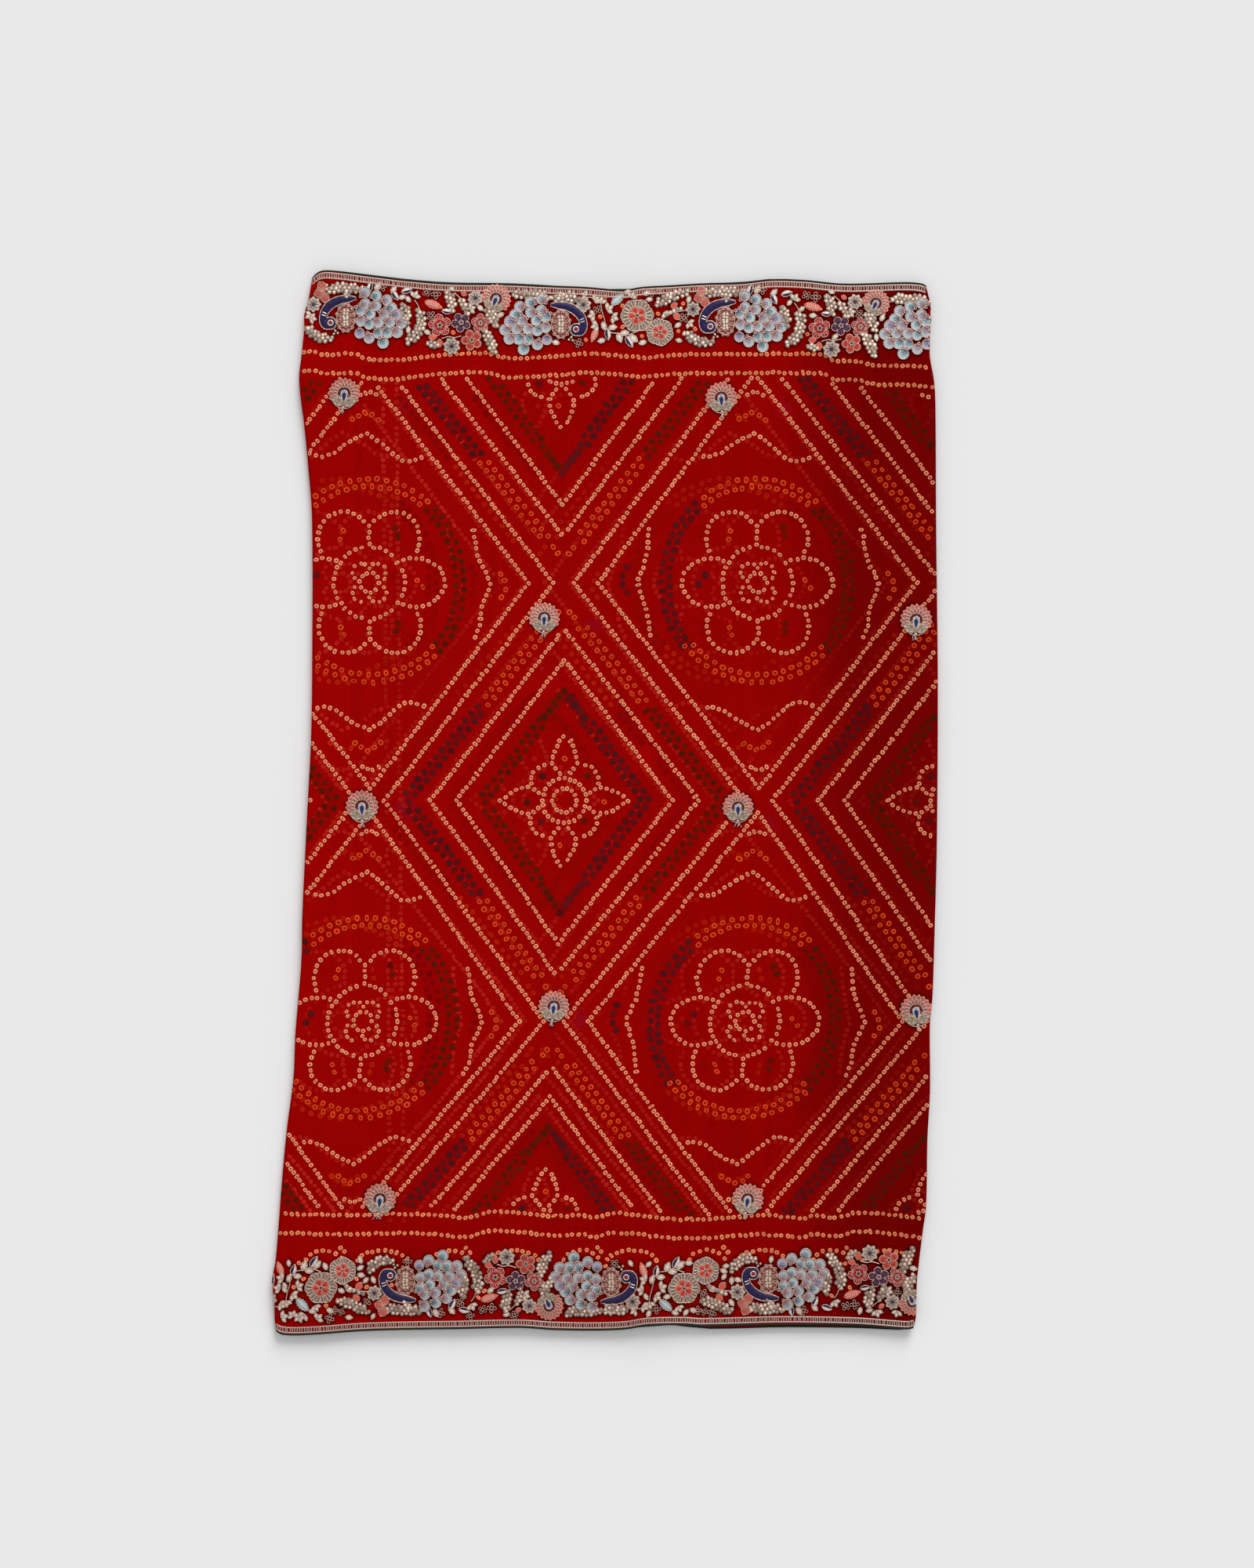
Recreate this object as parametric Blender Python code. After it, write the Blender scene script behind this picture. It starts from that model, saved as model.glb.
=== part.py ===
# The folded bandhani cloth: one long length of georgette folded in half and in half again,
# with silver edging and green piping along both long edges and embroidered motifs raised on top.
# X runs across the folded cloth, Y along its length, Z up from the underside that it rests on.
import math

import bmesh
import bpy
from mathutils import Matrix, Vector
from mathutils.bvhtree import BVHTree

MM = 0.001

# The cloth and its layers
CLOTH_THICKNESS = 1.0 * MM
LAYER_PITCH = 2.0 * MM
OUTER_FOLD_DEPTH = 3.5 * MM
RIGHT_FOLD_DEPTH = 2.0 * MM
INNER_FOLD_INSET = 2.3 * MM
INNER_FOLD_DEPTH = 1.3 * MM

# The trimmings along both long edges, from the outside in
PIPING_WIDTH = 1.7 * MM
EDGING_WIDTH = 7.0 * MM
SEAM_GAP = 0.3 * MM

# The embroidery
MOTIF_CLEARANCE = 0.45 * MM
MOTIF_THICKNESS = 1.3 * MM
TAIL_OFFSET = 34.5 * MM

# Where the left fold runs: y, x in mm
LEFT_FOLD = [
    (-508, -310.0), (-500, -315.0), (-480, -316.3), (-456, -318.0), (-434, -315.0), (-344, -308.2),
    (-299, -303.8), (-254, -298.0), (-209, -296.0), (-141, -290.4), (-96, -289.4), (0, -284.6),
    (61, -281.2), (136, -280.0), (270, -280.2), (331, -284.2), (376, -288.0), (421, -292.5),
    (444, -290.2), (466, -287.6), (479, -287.6), (486, -283.5), (495, -280.8), (505, -279.5),
]

# Where the right fold runs: y, x in mm
RIGHT_FOLD = [
    (-505, 291.8), (-501, 294.8), (-494, 297.0), (-479, 297.0), (-456, 298.5), (-411, 303.8),
    (-389, 306.8), (-321, 308.2), (-276, 310.5), (-209, 310.5), (-186, 312.8), (-119, 315.0),
    (-29, 317.2), (130, 318.0), (264, 316.5), (399, 315.6), (421, 313.5), (436, 310.3),
    (486, 311.0), (490, 309.5), (505, 304.0),
]

# The top layer's two long edges: x, y in mm
TOP_EDGE = [
    (-290, 480.0), (-284, 490.0), (-279, 500.5), (-273, 505.8), (-264, 507.0), (-226, 502.6),
    (-188, 498.0), (-150, 495.0), (-95, 494.2), (-57, 492.6), (-20, 491.0), (17, 488.0),
    (36, 491.0), (60, 492.5), (92, 494.5), (130, 495.4), (158, 498.4), (190, 497.6),
    (226, 494.2), (285, 495.6), (302, 494.4), (308, 491.0), (312, 484.0),
]
BOTTOM_EDGE = [
    (-318, -500.0), (-313, -507.0), (-306, -509.6), (-285, -509.6), (-226, -505.6), (-140, -503.9),
    (-80, -502.8), (-50, -504.8), (-10, -505.4), (20, -504.0), (40, -500.6), (75, -500.0),
    (92, -501.3), (170, -499.6), (240, -500.8), (285, -504.0), (293, -503.4), (298, -499.0),
]

# How much farther out the lower layers' long edges lie than the top layer's: x, out in mm
LOWER_TOP_OUT = [(-290, 0.0), (-240, 0.6), (-120, 0.8), (-57, 0.6), (-20, -1.0), (60, -1.0), (92, 0.4), (200, 0.4), (290, 0.0)]
LOWER_BOTTOM_OUT = [(-316, 0.0), (-60, 0.0), (60, 0.0), (92, 2.6), (176, 2.9), (240, 2.4), (285, 1.0), (300, 0.0)]

# Where the two free ends lie short of the right fold: y, layer 3, layer 4 in mm
FREE_ENDS = [(-504, 9.0, 14.0), (-250, 6.0, 16.0), (0, 8.0, 11.0), (250, 12.0, 15.0), (504, 7.0, 10.0)]

# Soft ridges and troughs of the upper layers: x, y, half length, half width in mm, turn in degrees, height in mm
FOLDS = [
    (-283, 0, 620, 26, 92, 1.3),
    (300, 60, 560, 24, 90, 0.9),
    (10, 470, 70, 30, 90, 3.0),
    (45, -485, 60, 32, 90, 2.4),
    (232, 440, 110, 22, 112, 1.9),
    (-226, 330, 190, 16, 90, -0.7),
    (-95, 350, 150, 16, 92, -0.6),
    (-226, -190, 170, 16, 90, -0.7),
    (-150, 60, 320, 90, 55, 0.9),
    (150, -120, 330, 90, 128, 0.8),
    (-60, -410, 240, 34, 8, 0.9),
    (80, 250, 260, 70, 40, 0.7),
    (-296, -440, 90, 26, 60, 1.2),
    (285, -470, 80, 24, 120, 1.0),
    (205, 60, 420, 20, 88, -0.5),
]

# How far along each layer its points stand, as shares from left to right
LAYER_1 = [
    0, 0.012, 0.03, 0.055, 0.085, 0.12, 0.16, 0.2, 0.245, 0.29, 0.335, 0.38, 0.43,
    0.48, 0.525, 0.57, 0.62, 0.67, 0.72, 0.77, 0.815, 0.855, 0.895, 0.93, 0.96, 0.985, 1,
]
LAYER_2 = [0, 0.04, 0.12, 0.22, 0.32, 0.42, 0.5, 0.58, 0.68, 0.78, 0.87, 0.94, 0.98, 1]
LAYER_3 = [0, 0.06, 0.2, 0.4, 0.6, 0.8, 0.95, 1]
LAYER_4 = [0, 0.06, 0.25, 0.5, 0.75, 0.95, 1]

# How far up the cloth its rows stand, as shares from bottom to top
ROWS = [
    0, 0.015, 0.035, 0.06, 0.09, 0.12, 0.155, 0.19, 0.23, 0.27, 0.31, 0.35, 0.39, 0.43, 0.47,
    0.51, 0.55, 0.59, 0.63, 0.67, 0.71, 0.75, 0.79, 0.825, 0.86, 0.89, 0.92, 0.945, 0.965, 0.98, 0.989, 1,
]

# Peacocks, from the middle of the body: x, y in mm, facing (-1 left, 1 right), upright (1) or upside down (-1)
PEACOCKS = [
    (-248, 461, -1, 1),
    (-41.5, 455.5, 1, 1),
    (114.5, 458, -1, 1),
    (-191, -457.5, -1, -1),
    (6.5, -459, 1, -1),
    (152.5, -456, -1, -1),
]
# A seventh tail, whose bird is round the fold: x, y in mm
LONE_TAIL = (283, 452)

# A peacock's neck from its root to its head: across, up, width in mm
NECK = [(9, 18.8, 2.5), (3, 18.6, 6), (-5, 17.4, 7.5), (-13, 13.5, 8), (-19, 7, 8), (-21.6, 0, 7.6), (-20, -5.5, 8), (-14.5, -8, 6)]

# Round flowers and fans: name, x, y, across, along in mm, lobes, colour
FLOWERS = [
    ("carnation_1", 32, 465, 28, 28, 9, "silver_thread"),
    ("carnation_2", 53, 446, 24, 24, 9, "silver_thread"),
    ("carnation_3", -271, -471, 28, 28, 9, "silver_thread"),
    ("carnation_4", -251, -449, 24, 24, 9, "silver_thread"),
    ("carnation_5", 78, -470, 28, 28, 9, "silver_thread"),
    ("carnation_6", 96, -449, 24, 24, 9, "silver_thread"),
    ("red_flower_1", -158, 457, 18, 18, 6, "red_thread"),
    ("red_flower_2", 202, 457, 18, 18, 6, "red_thread"),
    ("red_flower_3", -106, -462, 18, 18, 6, "red_thread"),
    ("red_flower_4", 235, -457, 18, 18, 6, "red_thread"),
    ("purple_flower_1", -138, 459, 16, 16, 6, "purple_thread"),
    ("purple_flower_2", 222, 458, 16, 16, 6, "purple_thread"),
    ("purple_flower_3", -86, -464, 16, 16, 6, "purple_thread"),
    ("purple_flower_4", 255, -461, 16, 16, 6, "purple_thread"),
    ("coral_flower_1", -127, 444, 15, 15, 6, "coral_thread"),
    ("coral_flower_2", 232, 442, 15, 15, 6, "coral_thread"),
    ("coral_flower_3", -76, -448, 15, 15, 6, "coral_thread"),
    ("coral_flower_4", 264, -444, 15, 15, 6, "coral_thread"),
    ("fan_flower_1", -104, 474, 22, 20, 8, "pink_thread"),
    ("fan_flower_2", 252, 473, 22, 19, 8, "pink_thread"),
    ("fan_flower_3", -54, -483, 22, 20, 8, "pink_thread"),
    ("fan_flower_4", 281, -481, 22, 20, 8, "pink_thread"),
]

# Buttis at the crossings of the lattice: x, y in mm
BUTTIS = [
    (-249, 388),
    (111, 384),
    (-58, 174),
    (297, 172),
    (-232, -6),
    (127, -7),
    (-49, -197),
    (297, -201),
    (-215, -381),
    (136, -381),
]
BUTTI_ACROSS = 27 * MM
BUTTI_ALONG = 29 * MM

# From the point that every place above is measured from to the middle of the folded cloth
TO_MIDDLE = Vector((-0.2, 1.6, 0)) * MM

# Plain colours, one for each material
COLOURS = {
    "crimson_georgette": (0.30, 0.004, 0.006),
    "silver_edging": (0.55, 0.48, 0.40),
    "green_piping": (0.012, 0.035, 0.018),
    "blue_thread": (0.36, 0.58, 0.66),
    "navy_satin": (0.035, 0.02, 0.16),
    "silver_thread": (0.55, 0.50, 0.42),
    "red_thread": (0.45, 0.02, 0.03),
    "purple_thread": (0.07, 0.015, 0.09),
    "coral_thread": (0.70, 0.14, 0.11),
    "pink_thread": (0.72, 0.30, 0.28),
}


def reading(rows, at, column=1):
    """The value at a place in a table, along a smooth curve through its rows."""
    if at <= rows[0][0]:
        return rows[0][column]
    for i in range(len(rows) - 1):
        a, b = rows[i], rows[i + 1]
        if at <= b[0]:
            before = rows[max(i - 1, 0)]
            after = rows[min(i + 2, len(rows) - 1)]
            step = b[0] - a[0]
            slope_a = (b[column] - before[column]) / (b[0] - before[0])
            slope_b = (after[column] - a[column]) / (after[0] - a[0])
            t = (at - a[0]) / step
            return (
                (1 + 2 * t) * (1 - t) ** 2 * a[column]
                + t * (1 - t) ** 2 * step * slope_a
                + t * t * (3 - 2 * t) * b[column]
                + t * t * (t - 1) * step * slope_b
            )
    return rows[-1][column]


def lift(x, y):
    """How far the ridges and troughs raise the top layer at a place in mm."""
    total = 0.0
    for fx, fy, half_length, half_width, turn, height in FOLDS:
        angle = math.radians(turn)
        along = ((x - fx) * math.cos(angle) + (y - fy) * math.sin(angle)) / half_length
        aside = ((y - fy) * math.cos(angle) - (x - fx) * math.sin(angle)) / half_width
        total += height * math.exp(-along * along * 1.6 - aside * aside)
    return max(total, -0.8) * MM


def folded_line(y_mm):
    """The folded cloth's middle line at one height up the cloth: x, z and share of top layer at each point."""
    left = reading(LEFT_FOLD, y_mm) * MM
    right = reading(RIGHT_FOLD, y_mm) * MM
    level = [CLOTH_THICKNESS / 2 + LAYER_PITCH * k for k in (3, 2, 1, 0)]
    line = []

    def height(x, layer):
        share = (1.0, 0.62, 0.25, 0.0)[layer]
        return level[layer] + share * lift(x / MM, y_mm)

    def bend(x, depth, z_from, z_to, steps, layer_share):
        for k in range(1, steps):
            angle = math.pi * k / steps
            z = z_from + (z_to - z_from) * (1 - math.cos(angle)) / 2
            share = layer_share[0] + (layer_share[1] - layer_share[0]) * k / steps
            line.append((x + depth * math.sin(angle), z, share))

    outer = left + OUTER_FOLD_DEPTH
    inner = left + INNER_FOLD_INSET + INNER_FOLD_DEPTH
    turn = right - RIGHT_FOLD_DEPTH
    end_3 = right - reading(FREE_ENDS, y_mm, 1) * MM
    end_4 = right - reading(FREE_ENDS, y_mm, 2) * MM

    for share in reversed(LAYER_4):
        line.append((outer + share * (end_4 - outer), level[3], 0.0))
    bend(outer, -(OUTER_FOLD_DEPTH - CLOTH_THICKNESS / 2), level[3], height(outer, 0), 7, (0, 1))
    for share in LAYER_1:
        x = outer + share * (turn - outer)
        line.append((x, height(x, 0), 1.0))
    bend(turn, RIGHT_FOLD_DEPTH - CLOTH_THICKNESS / 2, height(turn, 0), height(turn, 1), 4, (1, 0))
    for share in reversed(LAYER_2):
        x = inner + share * (turn - inner)
        line.append((x, height(x, 1), 0.0))
    bend(inner, -INNER_FOLD_DEPTH, height(inner, 1), height(inner, 2), 4, (0, 0))
    for share in LAYER_3:
        x = inner + share * (end_3 - inner)
        line.append((x, height(x, 2), 0.0))
    return line


def long_edges(x, top_share):
    """Where the bottom and top long edges lie at a place across the cloth."""
    x_mm = x / MM
    lower = 1 - top_share
    bottom = reading(BOTTOM_EDGE, x_mm) - lower * reading(LOWER_BOTTOM_OUT, x_mm)
    top = reading(TOP_EDGE, x_mm) + lower * reading(LOWER_TOP_OUT, x_mm)
    return bottom * MM, top * MM


def folded_solid(name, slot, rows):
    """A closed folded sheet between the first and last row. A row is a share up the cloth and a distance in."""
    mesh = bmesh.new()
    rings = []
    for share, inset in rows:
        y_mid = -500 + share * 997
        line = folded_line(y_mid)
        one_side, other_side = [], []
        for i, (x, z, top_share) in enumerate(line):
            before, after = line[max(i - 1, 0)], line[min(i + 1, len(line) - 1)]
            along = Vector((after[0] - before[0], after[1] - before[1])).normalized()
            across = Vector((-along.y, along.x)) * (CLOTH_THICKNESS / 2)
            bottom, top = long_edges(x, top_share)
            y = bottom + inset + share * (top - bottom - 2 * inset)
            one_side.append(mesh.verts.new((x + across.x, y, z + across.y)))
            other_side.append(mesh.verts.new((x - across.x, y, z - across.y)))
        rings.append((one_side, other_side))
    for (a, b), (c, d) in zip(rings[:-1], rings[1:]):
        for i in range(len(a) - 1):
            mesh.faces.new((a[i], a[i + 1], c[i + 1], c[i]))
            mesh.faces.new((b[i + 1], b[i], d[i], d[i + 1]))
        mesh.faces.new((b[0], a[0], c[0], d[0]))
        mesh.faces.new((a[-1], b[-1], d[-1], c[-1]))
    for ring in (rings[0], rings[-1]):
        a, b = ring
        for i in range(len(a) - 1):
            mesh.faces.new((a[i], b[i], b[i + 1], a[i + 1]))
    return finished(name, slot, mesh)


def finished(name, slot, mesh):
    """The named object of a mesh, its faces turned outwards, with its own plain material."""
    bmesh.ops.recalc_face_normals(mesh, faces=mesh.faces[:])
    bmesh.ops.triangulate(mesh, faces=mesh.faces[:])
    data = bpy.data.meshes.new(name)
    mesh.to_mesh(data)
    mesh.free()
    thing = bpy.data.objects.new(name, data)
    bpy.context.scene.collection.objects.link(thing)
    material = bpy.data.materials.get(slot)
    if material is None:
        material = bpy.data.materials.new(slot)
        material.use_nodes = True
        surface = material.node_tree.nodes["Principled BSDF"]
        surface.inputs["Base Color"].default_value = (*COLOURS[slot], 1)
        surface.inputs["Roughness"].default_value = 0.75
    data.materials.append(material)
    return thing


def resting_height(surface, x, y):
    """The height just clear of the cloth's top layer at a place."""
    hit = surface.ray_cast(Vector((x, y, 0.1)), Vector((0, 0, -1)))
    return hit[0].z + MOTIF_CLEARANCE


def patch(name, slot, surface, x, y, across, along, lobes, notch, crown):
    """A low raised motif with a lobed outline and a crowned top, lying just clear of the cloth."""
    mesh = bmesh.new()
    count = 2 * lobes
    low, high = [], []
    for k in range(count):
        angle = 2 * math.pi * k / count
        reach = 0.5 * (1 - (notch if k % 2 else 0))
        px = x + across * reach * math.cos(angle)
        py = y + along * reach * math.sin(angle)
        z = resting_height(surface, px, py)
        low.append(mesh.verts.new((px, py, z)))
        high.append(mesh.verts.new((px, py, z + MOTIF_THICKNESS)))
    z = resting_height(surface, x, y)
    under = mesh.verts.new((x, y, z))
    over = mesh.verts.new((x, y, z + MOTIF_THICKNESS + crown))
    for k in range(count):
        n = (k + 1) % count
        mesh.faces.new((low[k], low[n], high[n], high[k]))
        mesh.faces.new((under, low[n], low[k]))
        mesh.faces.new((over, high[k], high[n]))
    return finished(name, slot, mesh)


def neck(name, surface, x, y, facing, upright):
    """A peacock's curved satin neck and head, lying just clear of the cloth."""
    mesh = bmesh.new()
    middle = [Vector((-facing * across * MM, upright * up * MM)) for across, up, width in NECK]
    rows = []
    for i, (across, up, width) in enumerate(NECK):
        along = (middle[min(i + 1, len(NECK) - 1)] - middle[max(i - 1, 0)]).normalized()
        aside = Vector((-along.y, along.x)) * (width * MM / 2)
        row = []
        for spot in (middle[i] + aside, middle[i] - aside):
            px, py = x + spot.x, y + spot.y
            z = resting_height(surface, px, py)
            row.append((mesh.verts.new((px, py, z)), mesh.verts.new((px, py, z + MOTIF_THICKNESS))))
        rows.append(row)
    for (a, b), (c, d) in zip(rows[:-1], rows[1:]):
        mesh.faces.new((a[0], c[0], d[0], b[0]))
        mesh.faces.new((a[1], b[1], d[1], c[1]))
        mesh.faces.new((a[0], a[1], c[1], c[0]))
        mesh.faces.new((b[0], d[0], d[1], b[1]))
    for a, b in (rows[0], rows[-1]):
        mesh.faces.new((a[0], b[0], b[1], a[1]))
    return finished(name, "navy_satin", mesh)


for old in list(bpy.data.objects):
    bpy.data.objects.remove(old)

edging_in = PIPING_WIDTH + SEAM_GAP
cloth_in = edging_in + EDGING_WIDTH + SEAM_GAP
cloth = folded_solid("bandhani_cloth", "crimson_georgette", [(share, cloth_in) for share in ROWS])
folded_solid("silver_edging_bottom", "silver_edging", [(0, edging_in), (0, edging_in + EDGING_WIDTH)])
folded_solid("silver_edging_top", "silver_edging", [(1, edging_in + EDGING_WIDTH), (1, edging_in)])
folded_solid("green_piping_bottom", "green_piping", [(0, 0), (0, PIPING_WIDTH)])
folded_solid("green_piping_top", "green_piping", [(1, PIPING_WIDTH), (1, 0)])

cloth_top = BVHTree.FromPolygons(
    [v.co.copy() for v in cloth.data.vertices], [tuple(p.vertices) for p in cloth.data.polygons]
)

tails = []
for number, (x, y, facing, upright) in enumerate(PEACOCKS, 1):
    x, y = x * MM, y * MM
    patch(f"peacock_body_{number}", "silver_thread", cloth_top, x, y, 17 * MM, 23 * MM, 6, 0, 0.7 * MM)
    neck(f"peacock_neck_{number}", cloth_top, x, y, facing, upright)
    tails.append((x - facing * TAIL_OFFSET, y))
tails.append((LONE_TAIL[0] * MM, LONE_TAIL[1] * MM))
for number, (x, y) in enumerate(tails, 1):
    patch(f"peacock_tail_{number}", "blue_thread", cloth_top, x, y, 47 * MM, 54 * MM, 11, 0.13, 0.9 * MM)

for name, x, y, across, along, lobes, slot in FLOWERS:
    patch(name, slot, cloth_top, x * MM, y * MM, across * MM, along * MM, lobes, 0.12, 0.6 * MM)

for number, (x, y) in enumerate(BUTTIS, 1):
    patch(f"butti_{number:02d}", "silver_thread", cloth_top, x * MM, y * MM, BUTTI_ACROSS, BUTTI_ALONG, 9, 0.1, 0.8 * MM)

for thing in bpy.data.objects:
    thing.data.transform(Matrix.Translation(TO_MIDDLE))
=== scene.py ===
import math

import bpy
import numpy as np
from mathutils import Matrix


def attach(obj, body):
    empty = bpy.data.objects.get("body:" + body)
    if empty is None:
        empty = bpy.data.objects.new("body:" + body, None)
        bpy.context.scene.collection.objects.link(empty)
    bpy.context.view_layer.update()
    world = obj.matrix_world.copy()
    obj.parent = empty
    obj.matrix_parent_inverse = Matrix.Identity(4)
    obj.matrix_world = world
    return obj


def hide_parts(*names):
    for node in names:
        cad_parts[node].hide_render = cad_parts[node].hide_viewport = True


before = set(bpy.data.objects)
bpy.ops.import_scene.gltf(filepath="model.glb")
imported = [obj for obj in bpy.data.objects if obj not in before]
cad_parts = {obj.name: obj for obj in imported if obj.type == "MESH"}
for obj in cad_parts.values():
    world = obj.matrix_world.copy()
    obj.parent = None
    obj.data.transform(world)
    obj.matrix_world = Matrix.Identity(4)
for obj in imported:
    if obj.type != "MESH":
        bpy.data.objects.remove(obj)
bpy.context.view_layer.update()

# The georgette cloth. The real piece is one length of thin crepe about 2.5 m by 1 m, folded in half
# and in half again, so four layers lie on each other: the top one turns into the second at the right
# fold and into the bottom one at the left fold, and the second turns into the third inside that.
SHEET_THICKNESS = 0.7
SOLID_THICKNESS = 1.0
LAYER_PITCH = 2.0
OUTER_FOLD_DEPTH = 3.5
RIGHT_FOLD_DEPTH = 2.0
INNER_FOLD_INSET = 2.3
INNER_FOLD_DEPTH = 1.3
HEM_IN = 1.6
# The lowest row of an even cloth, and how far its rows run up from there
LOWEST_ROW = -500.0
ROWS_RUN = 997.0
# From the point that every place is measured from to the middle of the folded cloth
TO_MIDDLE = np.array([-0.2, 1.6, 0.0])

# Where the two folds run: y, x
LEFT_FOLD = [
    (-508, -310.0), (-500, -315.0), (-480, -316.3), (-456, -318.0), (-434, -315.0), (-344, -308.2),
    (-299, -303.8), (-254, -298.0), (-209, -296.0), (-141, -290.4), (-96, -289.4), (0, -284.6),
    (61, -281.2), (136, -280.0), (270, -280.2), (331, -284.2), (376, -288.0), (421, -292.5),
    (444, -290.2), (466, -287.6), (479, -287.6), (486, -283.5), (495, -280.8), (505, -279.5),
]
RIGHT_FOLD = [
    (-505, 291.8), (-501, 294.8), (-494, 297.0), (-479, 297.0), (-456, 298.5), (-411, 303.8),
    (-389, 306.8), (-321, 308.2), (-276, 310.5), (-209, 310.5), (-186, 312.8), (-119, 315.0),
    (-29, 317.2), (130, 318.0), (264, 316.5), (399, 315.6), (421, 313.5), (436, 310.3),
    (486, 311.0), (490, 309.5), (505, 304.0),
]
# Where the long edges of the top layer run: x, y
TOP_EDGE = [
    (-290, 480.0), (-284, 490.0), (-279, 500.5), (-273, 505.8), (-264, 507.0), (-226, 502.6),
    (-188, 498.0), (-150, 495.0), (-95, 494.2), (-57, 492.6), (-20, 491.0), (17, 488.0),
    (36, 491.0), (60, 492.5), (92, 494.5), (130, 495.4), (158, 498.4), (190, 497.6),
    (226, 494.2), (285, 495.6), (302, 494.4), (308, 491.0), (312, 484.0),
]
BOTTOM_EDGE = [
    (-318, -500.0), (-313, -507.0), (-306, -509.6), (-285, -509.6), (-226, -505.6), (-140, -503.9),
    (-80, -502.8), (-50, -504.8), (-10, -505.4), (20, -504.0), (40, -500.6), (75, -500.0),
    (92, -501.3), (170, -499.6), (240, -500.8), (285, -504.0), (293, -503.4), (298, -499.0),
]
# How far the lower layers' long edges lie beyond the top layer's: x, out
LOWER_TOP_OUT = [
    (-290, 0.0), (-240, 0.6), (-120, 0.8), (-57, 0.6), (-20, -1.0), (60, -1.0), (92, 0.4), (200, 0.4),
    (290, 0.0),
]
LOWER_BOTTOM_OUT = [
    (-316, 0.0), (-60, 0.0), (60, 0.0), (92, 2.6), (176, 2.9), (240, 2.4), (285, 1.0), (300, 0.0),
]
# How far the two free ends lie short of the right fold: y, layer 3, layer 4
FREE_ENDS = [(-504, 9.0, 14.0), (-250, 6.0, 16.0), (0, 8.0, 11.0), (250, 12.0, 15.0), (504, 7.0, 10.0)]
# Soft ridges and troughs: x, y, half length, half width, turn in degrees, height
FOLDS = [
    (-283, 0, 620, 26, 92, 1.3), (300, 60, 560, 24, 90, 0.9), (10, 470, 70, 30, 90, 3.0),
    (45, -485, 60, 32, 90, 2.4), (232, 440, 110, 22, 112, 1.9), (-226, 330, 190, 16, 90, -0.7),
    (-95, 350, 150, 16, 92, -0.6), (-226, -190, 170, 16, 90, -0.7), (-150, 60, 320, 90, 55, 0.9),
    (150, -120, 330, 90, 128, 0.8), (-60, -410, 240, 34, 8, 0.9), (80, 250, 260, 70, 40, 0.7),
    (-296, -440, 90, 26, 60, 1.2), (285, -470, 80, 24, 120, 1.0), (205, 60, 420, 20, 88, -0.5),
]
# Finer creases that the solids leave out, in the same columns
CREASES = [
    (-226, 330, 120, 5, 90, -0.35), (-240, 300, 90, 5, 93, 0.25), (-98, 380, 90, 5, 88, -0.3),
    (-66, 330, 70, 5, 92, -0.25), (-226, -190, 110, 5, 90, -0.35), (-200, -150, 80, 5, 86, 0.2),
    (-40, 470, 30, 6, 60, 0.4), (60, 474, 34, 7, 118, 0.45), (20, -478, 30, 6, 70, 0.4),
    (230, 420, 60, 7, 118, 0.5), (262, 400, 60, 6, 124, -0.4), (-150, -420, 90, 8, 4, 0.3),
    (90, -425, 120, 7, -6, -0.3), (180, 250, 70, 8, 50, 0.25), (-60, 60, 90, 8, 130, 0.2),
]
# Long soft waves left by handling: length, direction in degrees, height
WAVES = [(63, 20, 0.10), (41, 75, 0.08), (97, 130, 0.14), (29, 160, 0.05), (150, 60, 0.2)]
DEEPEST_TROUGH = -0.9


def reading(rows, at, column=1):
    """A table's value at each place, along a smooth curve through its rows."""
    places = np.array([row[0] for row in rows], float)
    values = np.array([row[column] for row in rows], float)
    k = np.arange(len(places))
    before, after = np.maximum(k - 1, 0), np.minimum(k + 1, len(places) - 1)
    slopes = (values[after] - values[before]) / (places[after] - places[before])
    at = np.clip(np.asarray(at, float), places[0], places[-1])
    i = np.clip(np.searchsorted(places, at, side="right") - 1, 0, len(places) - 2)
    step = places[i + 1] - places[i]
    t = (at - places[i]) / step
    return (
        (1 + 2 * t) * (1 - t) ** 2 * values[i]
        + t * (1 - t) ** 2 * step * slopes[i]
        + t * t * (3 - 2 * t) * values[i + 1]
        + t * t * (t - 1) * step * slopes[i + 1]
    )


def facing(degrees):
    """The cosine and sine of a direction."""
    return math.cos(math.radians(degrees)), math.sin(math.radians(degrees))


def lift(x, y):
    """How far ridges, troughs, creases and waves raise the top layer."""
    total = np.zeros(np.broadcast(x, y).shape)
    for fx, fy, half_length, half_width, turn, height in FOLDS + CREASES:
        c, s = facing(turn)
        along = ((x - fx) * c + (y - fy) * s) / half_length
        aside = ((y - fy) * c - (x - fx) * s) / half_width
        total = total + height * np.exp(-along * along * 1.6 - aside * aside)
    for length, direction, height in WAVES:
        c, s = facing(direction)
        total = total + height * np.sin(2 * math.pi * (x * c + y * s) / length + length)
    return np.maximum(total, DEEPEST_TROUGH)


# The middle of each layer from the top one down, and how much of the ridges and troughs it takes
LEVELS = [SOLID_THICKNESS / 2 + LAYER_PITCH * k for k in (3, 2, 1, 0)]
FOLLOWS = (1.0, 0.62, 0.25, 0.0)


def layer_height(x, y, layer):
    return LEVELS[layer] + FOLLOWS[layer] * lift(x, y)


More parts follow.
